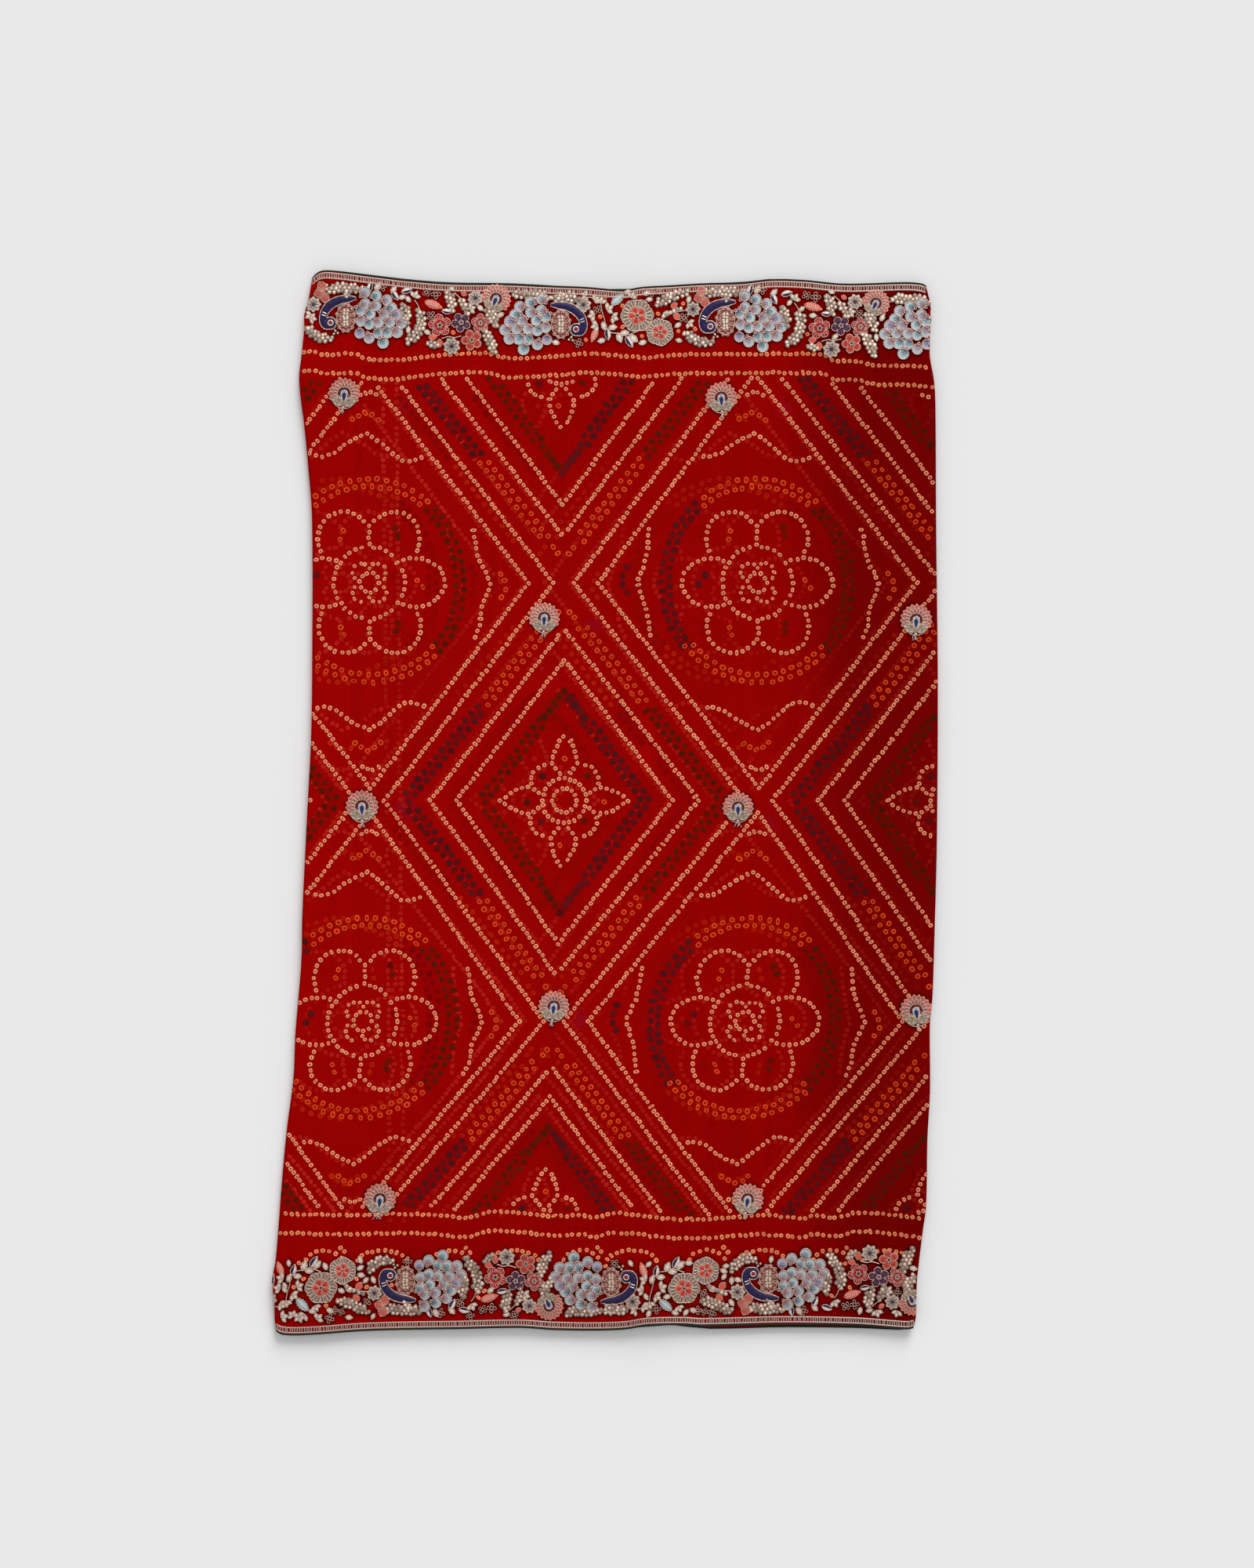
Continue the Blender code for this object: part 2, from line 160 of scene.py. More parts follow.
def folded_line(y):
    """The cloth's middle line in each row from one free end to the other: x, z, share of the top layer, and
    how much of the ridges and troughs it takes."""
    y = np.asarray(y, float)[:, None]
    left, right = reading(LEFT_FOLD, y), reading(RIGHT_FOLD, y)
    outer, turn = left + OUTER_FOLD_DEPTH, right - RIGHT_FOLD_DEPTH
    inner = left + INNER_FOLD_INSET + INNER_FOLD_DEPTH
    ends = right - reading(FREE_ENDS, y, 1), right - reading(FREE_ENDS, y, 2)
    xs, zs, tops, follows = [], [], [], []

    def flat(start, end, layer, count, backwards):
        share = np.linspace(0, 1, count)
        share = (0.7 * share + 0.3 * (1 - np.cos(math.pi * share)) / 2)[None, ::-1 if backwards else 1]
        x = start + share * (end - start)
        xs.append(x)
        zs.append(layer_height(x, y + 0 * x, layer))
        tops.append(np.full(x.shape, 1.0 if layer == 0 else 0.0))
        follows.append(np.full(x.shape, FOLLOWS[layer]))

    def bend(x, depth, a, b, steps, top_from, top_to):
        k = np.arange(1, steps)[None, :] / steps
        xs.append(x + depth * np.sin(math.pi * k))
        z_a, z_b = layer_height(x, y, a), layer_height(x, y, b)
        zs.append(z_a + (z_b - z_a) * (1 - np.cos(math.pi * k)) / 2)
        tops.append(top_from + (top_to - top_from) * k + 0 * y)
        follows.append(FOLLOWS[a] + (FOLLOWS[b] - FOLLOWS[a]) * k + 0 * y)

    flat(outer, ends[1], 3, 14, True)
    bend(outer, -(OUTER_FOLD_DEPTH - SOLID_THICKNESS / 2), 3, 0, 14, 0, 1)
    flat(outer, turn, 0, 150, False)
    bend(turn, RIGHT_FOLD_DEPTH - SOLID_THICKNESS / 2, 0, 1, 8, 1, 0)
    flat(inner, turn, 1, 36, True)
    bend(inner, -INNER_FOLD_DEPTH, 1, 2, 8, 0, 0)
    flat(inner, ends[0], 2, 14, False)
    return np.hstack(xs), np.hstack(zs), np.hstack(tops), np.hstack(follows)


def edge_at(x, top_share, upper):
    """Where the bottom or top long edge lies at a place across the cloth."""
    if upper:
        return reading(TOP_EDGE, x) + (1 - top_share) * reading(LOWER_TOP_OUT, x)
    return reading(BOTTOM_EDGE, x) - (1 - top_share) * reading(LOWER_BOTTOM_OUT, x)


def mesh_piece(name, spots, faces, material, tints=None):
    """A shown piece from points in mm and its triangles or quads, that rides on the cloth's one body."""
    mesh = bpy.data.meshes.new(name)
    faces = np.asarray(faces, np.int32)
    sides = faces.shape[1]
    mesh.vertices.add(len(spots))
    mesh.vertices.foreach_set("co", ((np.asarray(spots) + TO_MIDDLE) * 0.001).astype(np.float32).ravel())
    mesh.loops.add(faces.size)
    mesh.loops.foreach_set("vertex_index", faces.ravel())
    mesh.polygons.add(len(faces))
    mesh.polygons.foreach_set("loop_start", np.arange(0, faces.size, sides, dtype=np.int32))
    mesh.polygons.foreach_set("use_smooth", np.ones(len(faces), bool))
    if tints is not None:
        layer = mesh.color_attributes.new("tint", "FLOAT_COLOR", "POINT")
        colours = np.hstack([tints, np.ones((len(tints), 1))]).astype(np.float32)
        layer.data.foreach_set("color", colours.ravel())
    mesh.update(calc_edges=True)
    mesh.validate()
    thing = bpy.data.objects.new(name, mesh)
    bpy.context.scene.collection.objects.link(thing)
    mesh.materials.append(material)
    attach(thing, "root")
    return thing


def folded_sheet(name, material, shares):
    """The folded cloth with a row at each share of the way up it, turned in by its hem at the long edges."""
    even = LOWEST_ROW + shares * ROWS_RUN
    x, z, top, follow = folded_line(even)
    share = shares[:, None]
    bottom, upper = edge_at(x, top, False) + HEM_IN, edge_at(x, top, True) - HEM_IN
    y = bottom + share * (upper - bottom)
    z = z + follow * (lift(x, y) - lift(x, even[:, None]))
    dx, dz = np.gradient(x, axis=1), np.gradient(z, axis=1)
    long = np.hypot(dx, dz)
    nx, nz = -dz / long * SHEET_THICKNESS / 2, dx / long * SHEET_THICKNESS / 2
    sides = ((x + nx, x - nx), (y, y), (z + nz, z - nz))
    ring = np.stack([np.hstack([face, back[:, ::-1]]) for face, back in sides], axis=-1)
    rows, around = ring.shape[:2]
    a = (np.arange(rows - 1)[:, None] * around + np.arange(around)[None, :]).ravel()
    b = (np.arange(rows - 1)[:, None] * around + (np.arange(around) + 1)[None, :] % around).ravel()
    faces = [np.stack([a, a + around, b + around, b], axis=1)]
    half = around // 2
    i = np.arange(half - 1)
    low = np.stack([i, i + 1, around - 2 - i, around - 1 - i], axis=1)
    faces += [low, (low + (rows - 1) * around)[:, ::-1]]
    return mesh_piece(name, ring.reshape(-1, 3), np.vstack(faces), material)


def plain_nodes(name, **settings):
    """A new material, its node tree and its Principled surface with some of its inputs set."""
    material = bpy.data.materials.new(name)
    material.use_nodes = True
    surface = material.node_tree.nodes["Principled BSDF"]
    for key, value in settings.items():
        surface.inputs[key.replace("_", " ")].default_value = value
    return material, material.node_tree, surface


def add_node(tree, kind, **settings):
    """A new node with its properties or inputs set."""
    node = tree.nodes.new(kind)
    for key, value in settings.items():
        if hasattr(node, key):
            setattr(node, key, value)
        else:
            node.inputs[key.replace("_", " ")].default_value = value
    return node


RED_LIT = np.array([0.300, 0.0009, 0.0006])
RED_DEEP = np.array([0.180, 0.0008, 0.0006])
# Where the red grows deeper, in metres across, how the cloth darkens slowly towards the right, and painted
# shade where the light falls off towards its foot: from, to, at both
DEEP_FROM, DEEP_TO = 0.20, 0.30
FALL_ACROSS = (-0.3, 0.2, 1.05, 0.93)
PAINTED_FALLOFF_ALONG = (-0.46, -0.20, 0.82, 0.98)
crepe, tree, surface = plain_nodes("crimson_georgette_crepe", Roughness=0.85, Specular_IOR_Level=0.0)
link = tree.links.new
place = add_node(tree, "ShaderNodeTexCoord")
split = add_node(tree, "ShaderNodeSeparateXYZ")
link(place.outputs["Object"], split.inputs[0])
cloudy = add_node(tree, "ShaderNodeTexNoise", Scale=9.0, Detail=3.0, Roughness=0.5)
mottled = add_node(tree, "ShaderNodeTexNoise", Scale=420.0, Detail=2.0, Roughness=0.6)
for node in (cloudy, mottled):
    link(place.outputs["Object"], node.inputs["Vector"])
wander = add_node(tree, "ShaderNodeMath", operation="MULTIPLY_ADD")
wander.inputs[1].default_value = 0.09
link(cloudy.outputs["Fac"], wander.inputs[0])
link(split.outputs["X"], wander.inputs[2])
deepen = add_node(
    tree, "ShaderNodeMapRange", interpolation_type="SMOOTHSTEP", From_Min=DEEP_FROM, From_Max=DEEP_TO
)
link(wander.outputs[0], deepen.inputs["Value"])
base = add_node(tree, "ShaderNodeMix", data_type="RGBA")
base.inputs["A"].default_value = (*RED_LIT, 1)
base.inputs["B"].default_value = (*RED_DEEP, 1)
link(deepen.outputs["Result"], base.inputs["Factor"])
# Fine speckles, faint streaks along the cloth, its slow fall towards the right, and painted shade where the
# light falls off towards its foot
drawn_out = add_node(tree, "ShaderNodeMapping")
drawn_out.inputs["Scale"].default_value = (60, 3.5, 1)
link(place.outputs["Object"], drawn_out.inputs["Vector"])
streaky = add_node(tree, "ShaderNodeTexNoise", Scale=1.0, Detail=3.0, Roughness=0.6)
link(drawn_out.outputs["Vector"], streaky.inputs["Vector"])
amount = None
for source, low, high, at_low, at_high in (
    (mottled.outputs["Fac"], 0.3, 0.7, 0.88, 1.1),
    (streaky.outputs["Fac"], 0.3, 0.7, 0.94, 1.06),
    (split.outputs["X"], *FALL_ACROSS),
    (split.outputs["Y"], *PAINTED_FALLOFF_ALONG),
):
    fall = add_node(tree, "ShaderNodeMapRange", From_Min=low, From_Max=high, To_Min=at_low, To_Max=at_high)
    link(source, fall.inputs["Value"])
    if amount is None:
        amount = fall.outputs["Result"]
        continue
    both = add_node(tree, "ShaderNodeMath", operation="MULTIPLY")
    link(amount, both.inputs[0])
    link(fall.outputs["Result"], both.inputs[1])
    amount = both.outputs["Value"]
shade = add_node(tree, "ShaderNodeVectorMath", operation="SCALE")
link(base.outputs["Result"], shade.inputs[0])
link(amount, shade.inputs["Scale"])
link(shade.outputs["Vector"], surface.inputs["Base Color"])
crinkle = add_node(tree, "ShaderNodeBump", Strength=0.25, Distance=0.0004)
link(mottled.outputs["Fac"], crinkle.inputs["Height"])
link(crinkle.outputs["Normal"], surface.inputs["Normal"])

row_shares = np.linspace(0, 1, 190)
row_shares = 0.75 * row_shares + 0.25 * (1 - np.cos(math.pi * row_shares)) / 2
cloth = folded_sheet("georgette_cloth", crepe, row_shares)
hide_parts("bandhani_cloth")

# The dots. The real ones are pinches of cloth tied with thread before dyeing, in yellow, orange, navy
# and green in turn, so each is a small raised square ring with a dark middle. They lie in lines that
# make a lattice of two kinds of diamond, one with a round flower and one with a star flower.
LINE_PITCH = 5.3
FLOWER_PITCH = 6.1
PAIR_PITCH = 8.9
ROUND_COLUMNS = [-225.0, 145.5]
ROUND_ROWS = [208.5, -210.0]
HALF_ACROSS = 185.25
HALF_ALONG = 209.25
hand = np.random.default_rng(11)

# How the hand-tied lattice strays from an even one: y, right at the left side, right at the right side, up
STRAYS = [
    (-520, -27, -27, 14), (-419, -18, -21, 9), (-210, -6.5, -12, 0), (-1, 0.8, 0.8, 1.5),
    (208, 0, 0, 0), (418, -1.5, -2.5, 2),
]
# The upper of the two dotted lines under the top border: x, y
TOP_LINE = [
    (-293, 428.5), (-279, 429), (-265, 426), (-240, 427), (-226, 422), (-200, 421), (-181, 423), (-159, 426),
    (-112, 427.5), (-95, 423), (-54, 424), (-10, 427), (33, 423.5), (70, 426), (170, 427), (208, 426),
    (218, 421), (240, 420), (256, 416), (283, 415.5), (314, 413.5),
]
# The upper of the two dotted lines above the bottom border: x, y
BOTTOM_LINE = [
    (-316, -393.5), (-250, -395), (-200, -394), (-159, -395), (-131, -397.5), (-113, -392), (-90, -392),
    (-52, -396), (-22, -395), (-10.5, -397.5), (7, -393.5), (29, -394.5), (54, -398), (94, -399),
    (150, -395), (189, -398), (200, -395), (220, -397), (238, -393), (280, -395), (308, -399.5),
]
LINE_APART = 18.2
CLEAR_OF_LINES = 4.5


def strayed(x, y):
    """Where hand tying puts a spot of the even lattice."""
    across = np.clip((x - ROUND_COLUMNS[0]) / (2 * HALF_ACROSS), -0.2, 1.3)
    left, right = reading(STRAYS, y, 1), reading(STRAYS, y, 2)
    return x + left + across * (right - left), y + reading(STRAYS, y, 3)


def evenly(points, pitch, closed=False):
    """Spots at an even pitch along a line through points, with the direction at each."""
    points = np.asarray(points, float)
    if closed:
        points = np.vstack([points, points[:1]])
    legs = np.hypot(*np.diff(points, axis=0).T)
    run = np.concatenate([[0], np.cumsum(legs)])
    count = max(2, int(round(run[-1] / pitch)) + (0 if closed else 1))
    at = np.linspace(0, run[-1], count, endpoint=not closed)
    x, y = np.interp(at, run, points[:, 0]), np.interp(at, run, points[:, 1])
    near = np.clip(np.searchsorted(run, at + 0.01, side="right") - 1, 0, len(legs) - 1)
    way = np.diff(points, axis=0)[near]
    return np.column_stack([x, y, np.arctan2(way[:, 1], way[:, 0])])


def arc(cx, cy, rx, ry, start, end):
    """Points along an arc, with its angles in degrees."""
    angle = np.radians(np.linspace(start, end, 25))
    return np.column_stack([cx + rx * np.cos(angle), cy + ry * np.sin(angle)])


def mirrored(points, across=1, up=1):
    return [(x * across, y * up) for x, y in points]


class Dots:
    """Gathers tied dots of one colour, each with its place, turn and size."""

    def __init__(self):
        self.rows = []

    def line(self, points, pitch=LINE_PITCH, closed=False, size=1.0):
        spots = evenly(points, pitch, closed)
        self.rows.append(np.column_stack([spots, np.full(len(spots), size)]))

    def pairs(self, points, apart=6.8, size=1.0):
        for side in (-1, 1):
            spots = evenly(points, PAIR_PITCH)
            shift = 0.25 * side * PAIR_PITCH
            x = spots[:, 0] + shift * np.cos(spots[:, 2]) - side * apart / 2 * np.sin(spots[:, 2])
            y = spots[:, 1] + shift * np.sin(spots[:, 2]) + side * apart / 2 * np.cos(spots[:, 2])
            self.rows.append(np.column_stack([x, y, spots[:, 2], np.full(len(x), size)]))

    def spots(self, points, size=1.0):
        points = np.asarray(points, float)
        turn = hand.uniform(0.3, 1.3, len(points))
        self.rows.append(np.column_stack([points, turn, np.full(len(points), size)]))


# One diamond of each kind, from its middle. The inner and outer outlines of the round flower's diamond:
ROUND_INNER = [(152, 0), (0, 197.5), (-152, 0), (0, -197.5)]
ROUND_OUTER = [(13.5, 209.25), (175.5, 0), (13.5, -209.25)]
# The wave above and below the flower, the small roof over it and the five dots between
WAVE = [
    (-56, 122), (-46, 119), (-34, 122), (-25.5, 128.5), (-16.5, 134.5), (-8, 138.5), (-2, 142),
    (4, 138), (10.5, 133.5), (19, 126), (28, 118.5), (33, 115.5), (39, 114.8), (44.5, 116), (50.5, 118.5),
]
ROOF = [(-12.7, 175), (-6.5, 178), (0, 181), (6.5, 178), (12.7, 175)]
FIVE = [(-15, 154.5), (-9, 158), (-3, 161), (3.7, 158.5), (9.5, 154)]
BRACKET_LEFT = [(-103, 51), (-105, 32), (-107, 21), (-115, 0), (-106, -26), (-103, -50)]
BRACKET_RIGHT = [(100, 50), (104, 24), (112.5, 8), (116, -2), (107, -22), (105, -41), (100.5, -52)]
COLUMN_LEFT = [(-125, 15), (-128, 6.5), (-128, -1.5), (-124.5, -9)]
COLUMN_RIGHT = [(125, 9), (129, 2), (130, -6), (126, -14)]
CLOVER_QUARTER = [(0, 14.3), (3.6, 17.7), (8.8, 18.2), (14.2, 15.4), (16.1, 9.5), (14.1, 4.8)]
# The star flower's diamond: two outlines, the band round them and the one inside
STAR_OUTER = [(128, 0), (0, 165), (-128, 0), (0, -165)]
STAR_INNER = [(103, 0), (0, 135), (-103, 0), (0, -135)]
BAND = (151.5, 188.0)
HEART = (78.0, 105.0)
TIP_PETAL = [(-12, 36), (-11, 44), (-8.5, 50), (-5, 57), (0, 64), (5, 57), (8.5, 50), (11, 44), (12, 36)]


def between(a, b, start, end):
    a, b = np.array(a, float), np.array(b, float)
    return [a + (b - a) * start, a + (b - a) * end]


def chart_round(ivory, orange, navy, green):
    """Ties one diamond with a round flower, about the origin."""
    ivory.line(ROUND_INNER, closed=True)
    for side in (1, -1):
        ivory.line(mirrored(ROUND_OUTER, side))
        ivory.line(mirrored(WAVE, 1, side), FLOWER_PITCH)
        ivory.line(mirrored(ROOF, 1, side), FLOWER_PITCH)
        orange.spots(mirrored(FIVE, 1, side), 1.0)
        ivory.line([(0, side * 53.9), (0, side * 37)], 6.2)
        for across in (1, -1):
            ivory.line(mirrored(arc(24, 42, 24.8, 25.5, 154, -28), across, side), 6.1)
        ivory.line(mirrored(arc(-43.5, 0, 28.5, 23.3, 54, 306), side), 6.1)
    ivory.line(BRACKET_LEFT, FLOWER_PITCH)
    ivory.line(BRACKET_RIGHT, FLOWER_PITCH)
    navy.line(COLUMN_LEFT, 8.0)
    orange.line(COLUMN_RIGHT, 8.0)
    ivory.line(arc(0, 0, 9.4, 9.4, 0, 345.6), 5.9)
    clover = CLOVER_QUARTER + [(13.1, 0)] + mirrored(CLOVER_QUARTER[:0:-1], 1, -1)
    ivory.spots(clover + mirrored(clover[1:-1], -1) + [(-13.1, 0), (0, -14.3)], 0.88)
    ivory.line(arc(0, 0, 34, 34.5, 0, 349.7), 6.1)
    orange.spots([(-25.5, 49.5), (-27.8, 41.3), (45.5, 2.6), (50.8, -4.4), (-27, -42.7), (-24.8, -50)], 0.95)
    green.spots([(24.8, 53), (27.5, 45), (27, -39), (25.5, -46.5)])
    navy.spots([(-50, 7), (-55.5, -1.3)])
    orange.pairs(arc(0, 0, 88, 95, 125, 53), 7.2)
    green.pairs(arc(0, 0, 87, 94, 47, -41), 7.2)
    orange.pairs(arc(0, 0, 87, 92, -46, -139), 7.2)
    navy.pairs(arc(0, 0, 88, 95, 219, 131), 7.2)


def chart_star(ivory, orange, navy, green):
    """Ties one diamond with a star flower, about the origin."""
    ivory.line(STAR_OUTER, closed=True)
    ivory.line(STAR_INNER, closed=True)
    for up in (1, -1):
        apex, heart_apex = (0, up * BAND[1]), (0, up * HEART[1])
        for side, dark in ((-1, navy), (1, green)):
            corner = (side * BAND[0], 0)
            dark.pairs(between(corner, apex, 0.015, 0.46))
            orange.pairs(between(corner, apex, 0.51, 0.88), size=0.95)
            orange.line(between(corner, apex, 0.905, 0.965), 7.3)
        for side, dark in ((-1, green), (1, navy)):
            corner = (side * HEART[0], 0)
            dark.pairs(between(corner, heart_apex, 0.02, 0.7))
            dark.line(between(corner, heart_apex, 0.76, 0.94), 8.0, size=1.3)
        (green if up > 0 else navy).spots([heart_apex], 1.1)
    ivory.line(arc(0, 0, 11.3, 11.3, 0, 334), 5.2)
    ivory.line(arc(0, 0, 21, 21.5, 0, 345), 5.6)
    for up in (1, -1):
        ivory.line(mirrored(TIP_PETAL, 1, up), 5.9)
        ivory.line([(up * y * 0.955, x * 1.05) for x, y in TIP_PETAL], 5.9)
        for across in (1, -1):
            ivory.line(mirrored(arc(17.6, 19.6, 14.4, 14.2, -62, 152), across, up), 5.7)
    orange.spots([(0, 40), (-3, -42.5), (38.5, -1.5)], 0.95)
    green.spots([(-35, -1.5), (22, 23), (19.5, -20)])
    navy.spots([(-21.5, 23), (-21.5, -20)])


def tied_cloth(columns):
    """All dots over these lattice columns as rows of x, y, turn and size for each colour."""
    gathered = {kind: [] for kind in ("ivory", "orange", "navy", "green")}
    for column in columns:
        for row in range(-1, 3):
            round_one, star_one = [Dots() for _ in range(4)], [Dots() for _ in range(4)]
            chart_round(*round_one)
            chart_star(*star_one)
            cx, cy = ROUND_COLUMNS[0] + 2 * HALF_ACROSS * column, ROUND_ROWS[0] - 2 * HALF_ALONG * row
            for dots, x, y in ((round_one, cx, cy), (star_one, cx + HALF_ACROSS, cy - HALF_ALONG)):
                for kind, one in zip(gathered, dots):
                    gathered[kind].append(np.vstack(one.rows) + [x, y, 0, 0])
    for kind in gathered:
        spots = np.vstack(gathered[kind])
        x, y = strayed(spots[:, 0], spots[:, 1])
        keep = y < reading(TOP_LINE, x) - LINE_APART - CLEAR_OF_LINES
        keep &= y > reading(BOTTOM_LINE, x) + CLEAR_OF_LINES
        gathered[kind] = np.column_stack([x, y, spots[:, 2:]])[keep]
    return gathered


def near_cell(cells, cell):
    """All that is kept in one cell of a grid and in the eight round it."""
    return [k for a in (-1, 0, 1) for b in (-1, 0, 1) for k in cells.get((cell[0] + a, cell[1] + b), [])]


def spread_apart(spots, least):
    """Drops each dot that lies too close to one before it, as no two pinches can share cloth."""
    kept, cells = [], {}
    for i, (x, y) in enumerate(spots[:, :2]):
        cell = (int(x // least), int(y // least))
        if all(math.hypot(x - spots[j, 0], y - spots[j, 1]) >= least for j in near_cell(cells, cell)):
            kept.append(i)
            cells.setdefault(cell, []).append(i)
    return spots[kept]


def fold_limits(x, y):
    """Where the flat part of the top layer starts and ends across, in the row of cloth at seen places."""
    bottom = reading(BOTTOM_EDGE, x)
    row = LOWEST_ROW + ROWS_RUN * (y - bottom) / (reading(TOP_EDGE, x) - bottom)
    return reading(LEFT_FOLD, row) + OUTER_FOLD_DEPTH, reading(RIGHT_FOLD, row) - RIGHT_FOLD_DEPTH


def on_top(x, y, raised=0.0):
    """Points of the top layer's face at seen places, going round both folds, and raised off it."""
    x, y, raised = np.broadcast_arrays(np.asarray(x, float), np.asarray(y, float), np.asarray(raised, float))
    start, end = fold_limits(x, y)
    flat = np.clip(x, start, end)
    past = x - flat
    z_1 = layer_height(flat, y, 0)
    other = np.where(past < 0, LEVELS[3], layer_height(flat, y, 1))
    skin = SHEET_THICKNESS / 2 + raised
    depth = np.where(past < 0, OUTER_FOLD_DEPTH, RIGHT_FOLD_DEPTH) - SOLID_THICKNESS / 2
    tall = (z_1 - other) / 2
    angle = np.clip(past / np.where(past < 0, 3.2, 1.4), -2.6, 2.6)
    px = flat + np.where(past == 0, 0, (depth + skin) * np.sin(angle))
    pz = np.where(past == 0, z_1 + skin, (z_1 + other) / 2 + (tall + skin) * np.cos(angle))
    return np.stack([px, y, pz], axis=-1)


def ground_at(x, y):
    """The cloth's colour near a place, with painted shade where the light falls off towards its foot, for dye
    that fades out into it.
    """
    share = np.clip((x * 0.001 + 0.045 - DEEP_FROM) / (DEEP_TO - DEEP_FROM), 0, 1)[:, None]
    share = share * share * (3 - 2 * share)
    falls = []
    for at, (low, high, at_low, at_high) in ((x, FALL_ACROSS), (y, PAINTED_FALLOFF_ALONG)):
        falls.append(np.interp(at, [low * 1000, high * 1000], [at_low, at_high]))
    return (RED_LIT + share * (RED_DEEP - RED_LIT)) * (falls[0] * falls[1])[:, None]


def stamped(spots, form, faces, tints, fades, strength):
    """One form set at every spot and laid on the cloth: points, triangles, tints that fade out."""
    n, m = len(spots), len(form)
    size = 0.96 * spots[:, 3] * (1 + hand.normal(0, 0.06, n))
    turn = spots[:, 2] + hand.normal(0, 0.12, n)
    stretch = 1 + hand.normal(0, 0.1, n)
    fx = form[None, :, 0] * (size * stretch)[:, None]
    fy = form[None, :, 1] * (size / stretch)[:, None]
    c, s = np.cos(turn)[:, None], np.sin(turn)[:, None]
    x = spots[:, 0:1] + hand.normal(0, 0.35, (n, 1)) + fx * c - fy * s
    y = spots[:, 1:2] + hand.normal(0, 0.35, (n, 1)) + fx * s + fy * c
    points = on_top(x.ravel(), y.ravel(), np.tile(form[:, 2], n))
    where = (faces[None] + (np.arange(n) * m)[:, None, None]).reshape(-1, faces.shape[1])
    shade = ((1 + hand.normal(0, 0.06, n)) * np.interp(spots[:, 0], [60, 300], [1.0, 0.86]))[:, None, None]
    dye = (np.asarray(fades)[None] * np.broadcast_to(strength, n)[:, None])[:, :, None]
    own = ground_at(spots[:, 0], spots[:, 1])[:, None, :]
    return points, where, (tints[None] * shade * dye + own * (1 - dye)).clip(0, 1).reshape(-1, 3)


def ring_form(rings, sides, corner=0.0):
    """A small round or square form from rings of radius and height, ending in a middle point."""
    angle = 2 * math.pi * np.arange(sides) / sides
    reach = 1 + corner * np.abs(np.sin(2 * angle)) ** 1.5
    x, y = reach * np.cos(angle), reach * np.sin(angle)
    points = [np.column_stack([r * x, r * y, np.full(sides, h)]) for r, h in rings[:-1]]
    points.append(np.array([[0, 0, rings[-1][1]]]))
    faces = []
    for k in range(len(rings) - 2):
        for i in range(sides):
            j = (i + 1) % sides
            a, b = k * sides, (k + 1) * sides
            faces += [(a + i, a + j, b + j), (a + i, b + j, b + i)]
    a = (len(rings) - 2) * sides
    faces += [(a + i, a + (i + 1) % sides, a + sides) for i in range(sides)]
    return np.vstack(points), np.array(faces)


def ring_tints(colours, sides):
    return np.array([c for c in colours[:-1] for _ in range(sides)] + [colours[-1]])


def tinted_material(name, **settings):
    """A material that shows the colours given to a piece's points."""
    material, tree, surface = plain_nodes(name, **settings)
    tint = add_node(tree, "ShaderNodeAttribute", attribute_name="tint")
    tree.links.new(tint.outputs["Color"], surface.inputs["Base Color"])
    return material


tinted = tinted_material("dyed_dots", Roughness=0.85, Specular_IOR_Level=0.0)

# A dot of each colour from its rim to its middle: radius, height, colour, how much of it is laid over the
# cloth; inside, that is the dye that has taken, and at the rim of the ivory, amber and orange dots it is a
# dark red skirt of painted shade round the raised pinch
DOT_KINDS = {
    "ivory": [
        (2.45, 0.03, (0.11, 0.001, 0.001), 0.55), (1.85, 0.24, (0.76, 0.21, 0.105), 1),
        (1.36, 0.33, (1.0, 0.45, 0.26), 1), (0.78, 0.20, (0.30, 0.034, 0.011), 1),
        (0, 0.14, (0.13, 0.008, 0.003), 1),
    ],
    "amber": [
        (2.5, 0.03, (0.12, 0.001, 0.001), 0.5), (1.85, 0.24, (0.70, 0.18, 0.078), 1),
        (1.34, 0.33, (1.0, 0.44, 0.215), 1), (0.78, 0.20, (0.38, 0.056, 0.014), 1),
        (0, 0.14, (0.24, 0.018, 0.005), 1),
    ],
    "orange": [
        (3.1, 0.03, (0.14, 0.001, 0.001), 0.35), (2.4, 0.26, (0.56, 0.045, 0.008), 1),
        (1.9, 0.36, (0.80, 0.115, 0.020), 1), (1.3, 0.20, (0.34, 0.006, 0.001), 1),
        (0, 0.12, (0.27, 0.001, 0.001), 1),
    ],
    "navy": [
        (4.7, 0.05, (0.2, 0.001, 0.002), 0), (3.3, 0.14, (0.110, 0.003, 0.004), 0.8),
        (2.2, 0.22, (0.062, 0.006, 0.008), 0.95), (1.1, 0.22, (0.050, 0.009, 0.011), 1),
        (0, 0.16, (0.038, 0.007, 0.008), 1),
    ],
    "green": [
        (4.6, 0.05, (0.2, 0.001, 0.001), 0), (3.1, 0.14, (0.125, 0.004, 0.001), 0.75),
        (2.0, 0.22, (0.072, 0.008, 0.002), 0.95), (1.0, 0.22, (0.050, 0.010, 0.003), 1),
        (0, 0.16, (0.040, 0.007, 0.002), 1),
    ],
}
# How many sides a dot's rings have, and how far the corners of the squarer ones stand out
DOT_SIDES = 8
SQUARENESS = 0.07
# How near each other two dots of a colour may be tied
LEAST_APART = {"ivory": 4.2, "amber": 4.2, "orange": 6.0, "navy": 6.0, "green": 6.0}
# The least share of its dye that a dot of each colour has taken
WEAKEST = {"ivory": 0.9, "amber": 0.85, "orange": 0.82, "navy": 0.8, "green": 0.75}


def dotted_lines(rows, start, end, pitch):
    """Two dotted lines along a table's curve, one below the other."""
    x = np.arange(start, end, pitch)
    turn, size = np.full(len(x), 0.5), np.full(len(x), 1.0)
    return [np.column_stack([x, reading(rows, x) - drop, turn, size]) for drop in (0, LINE_APART)]


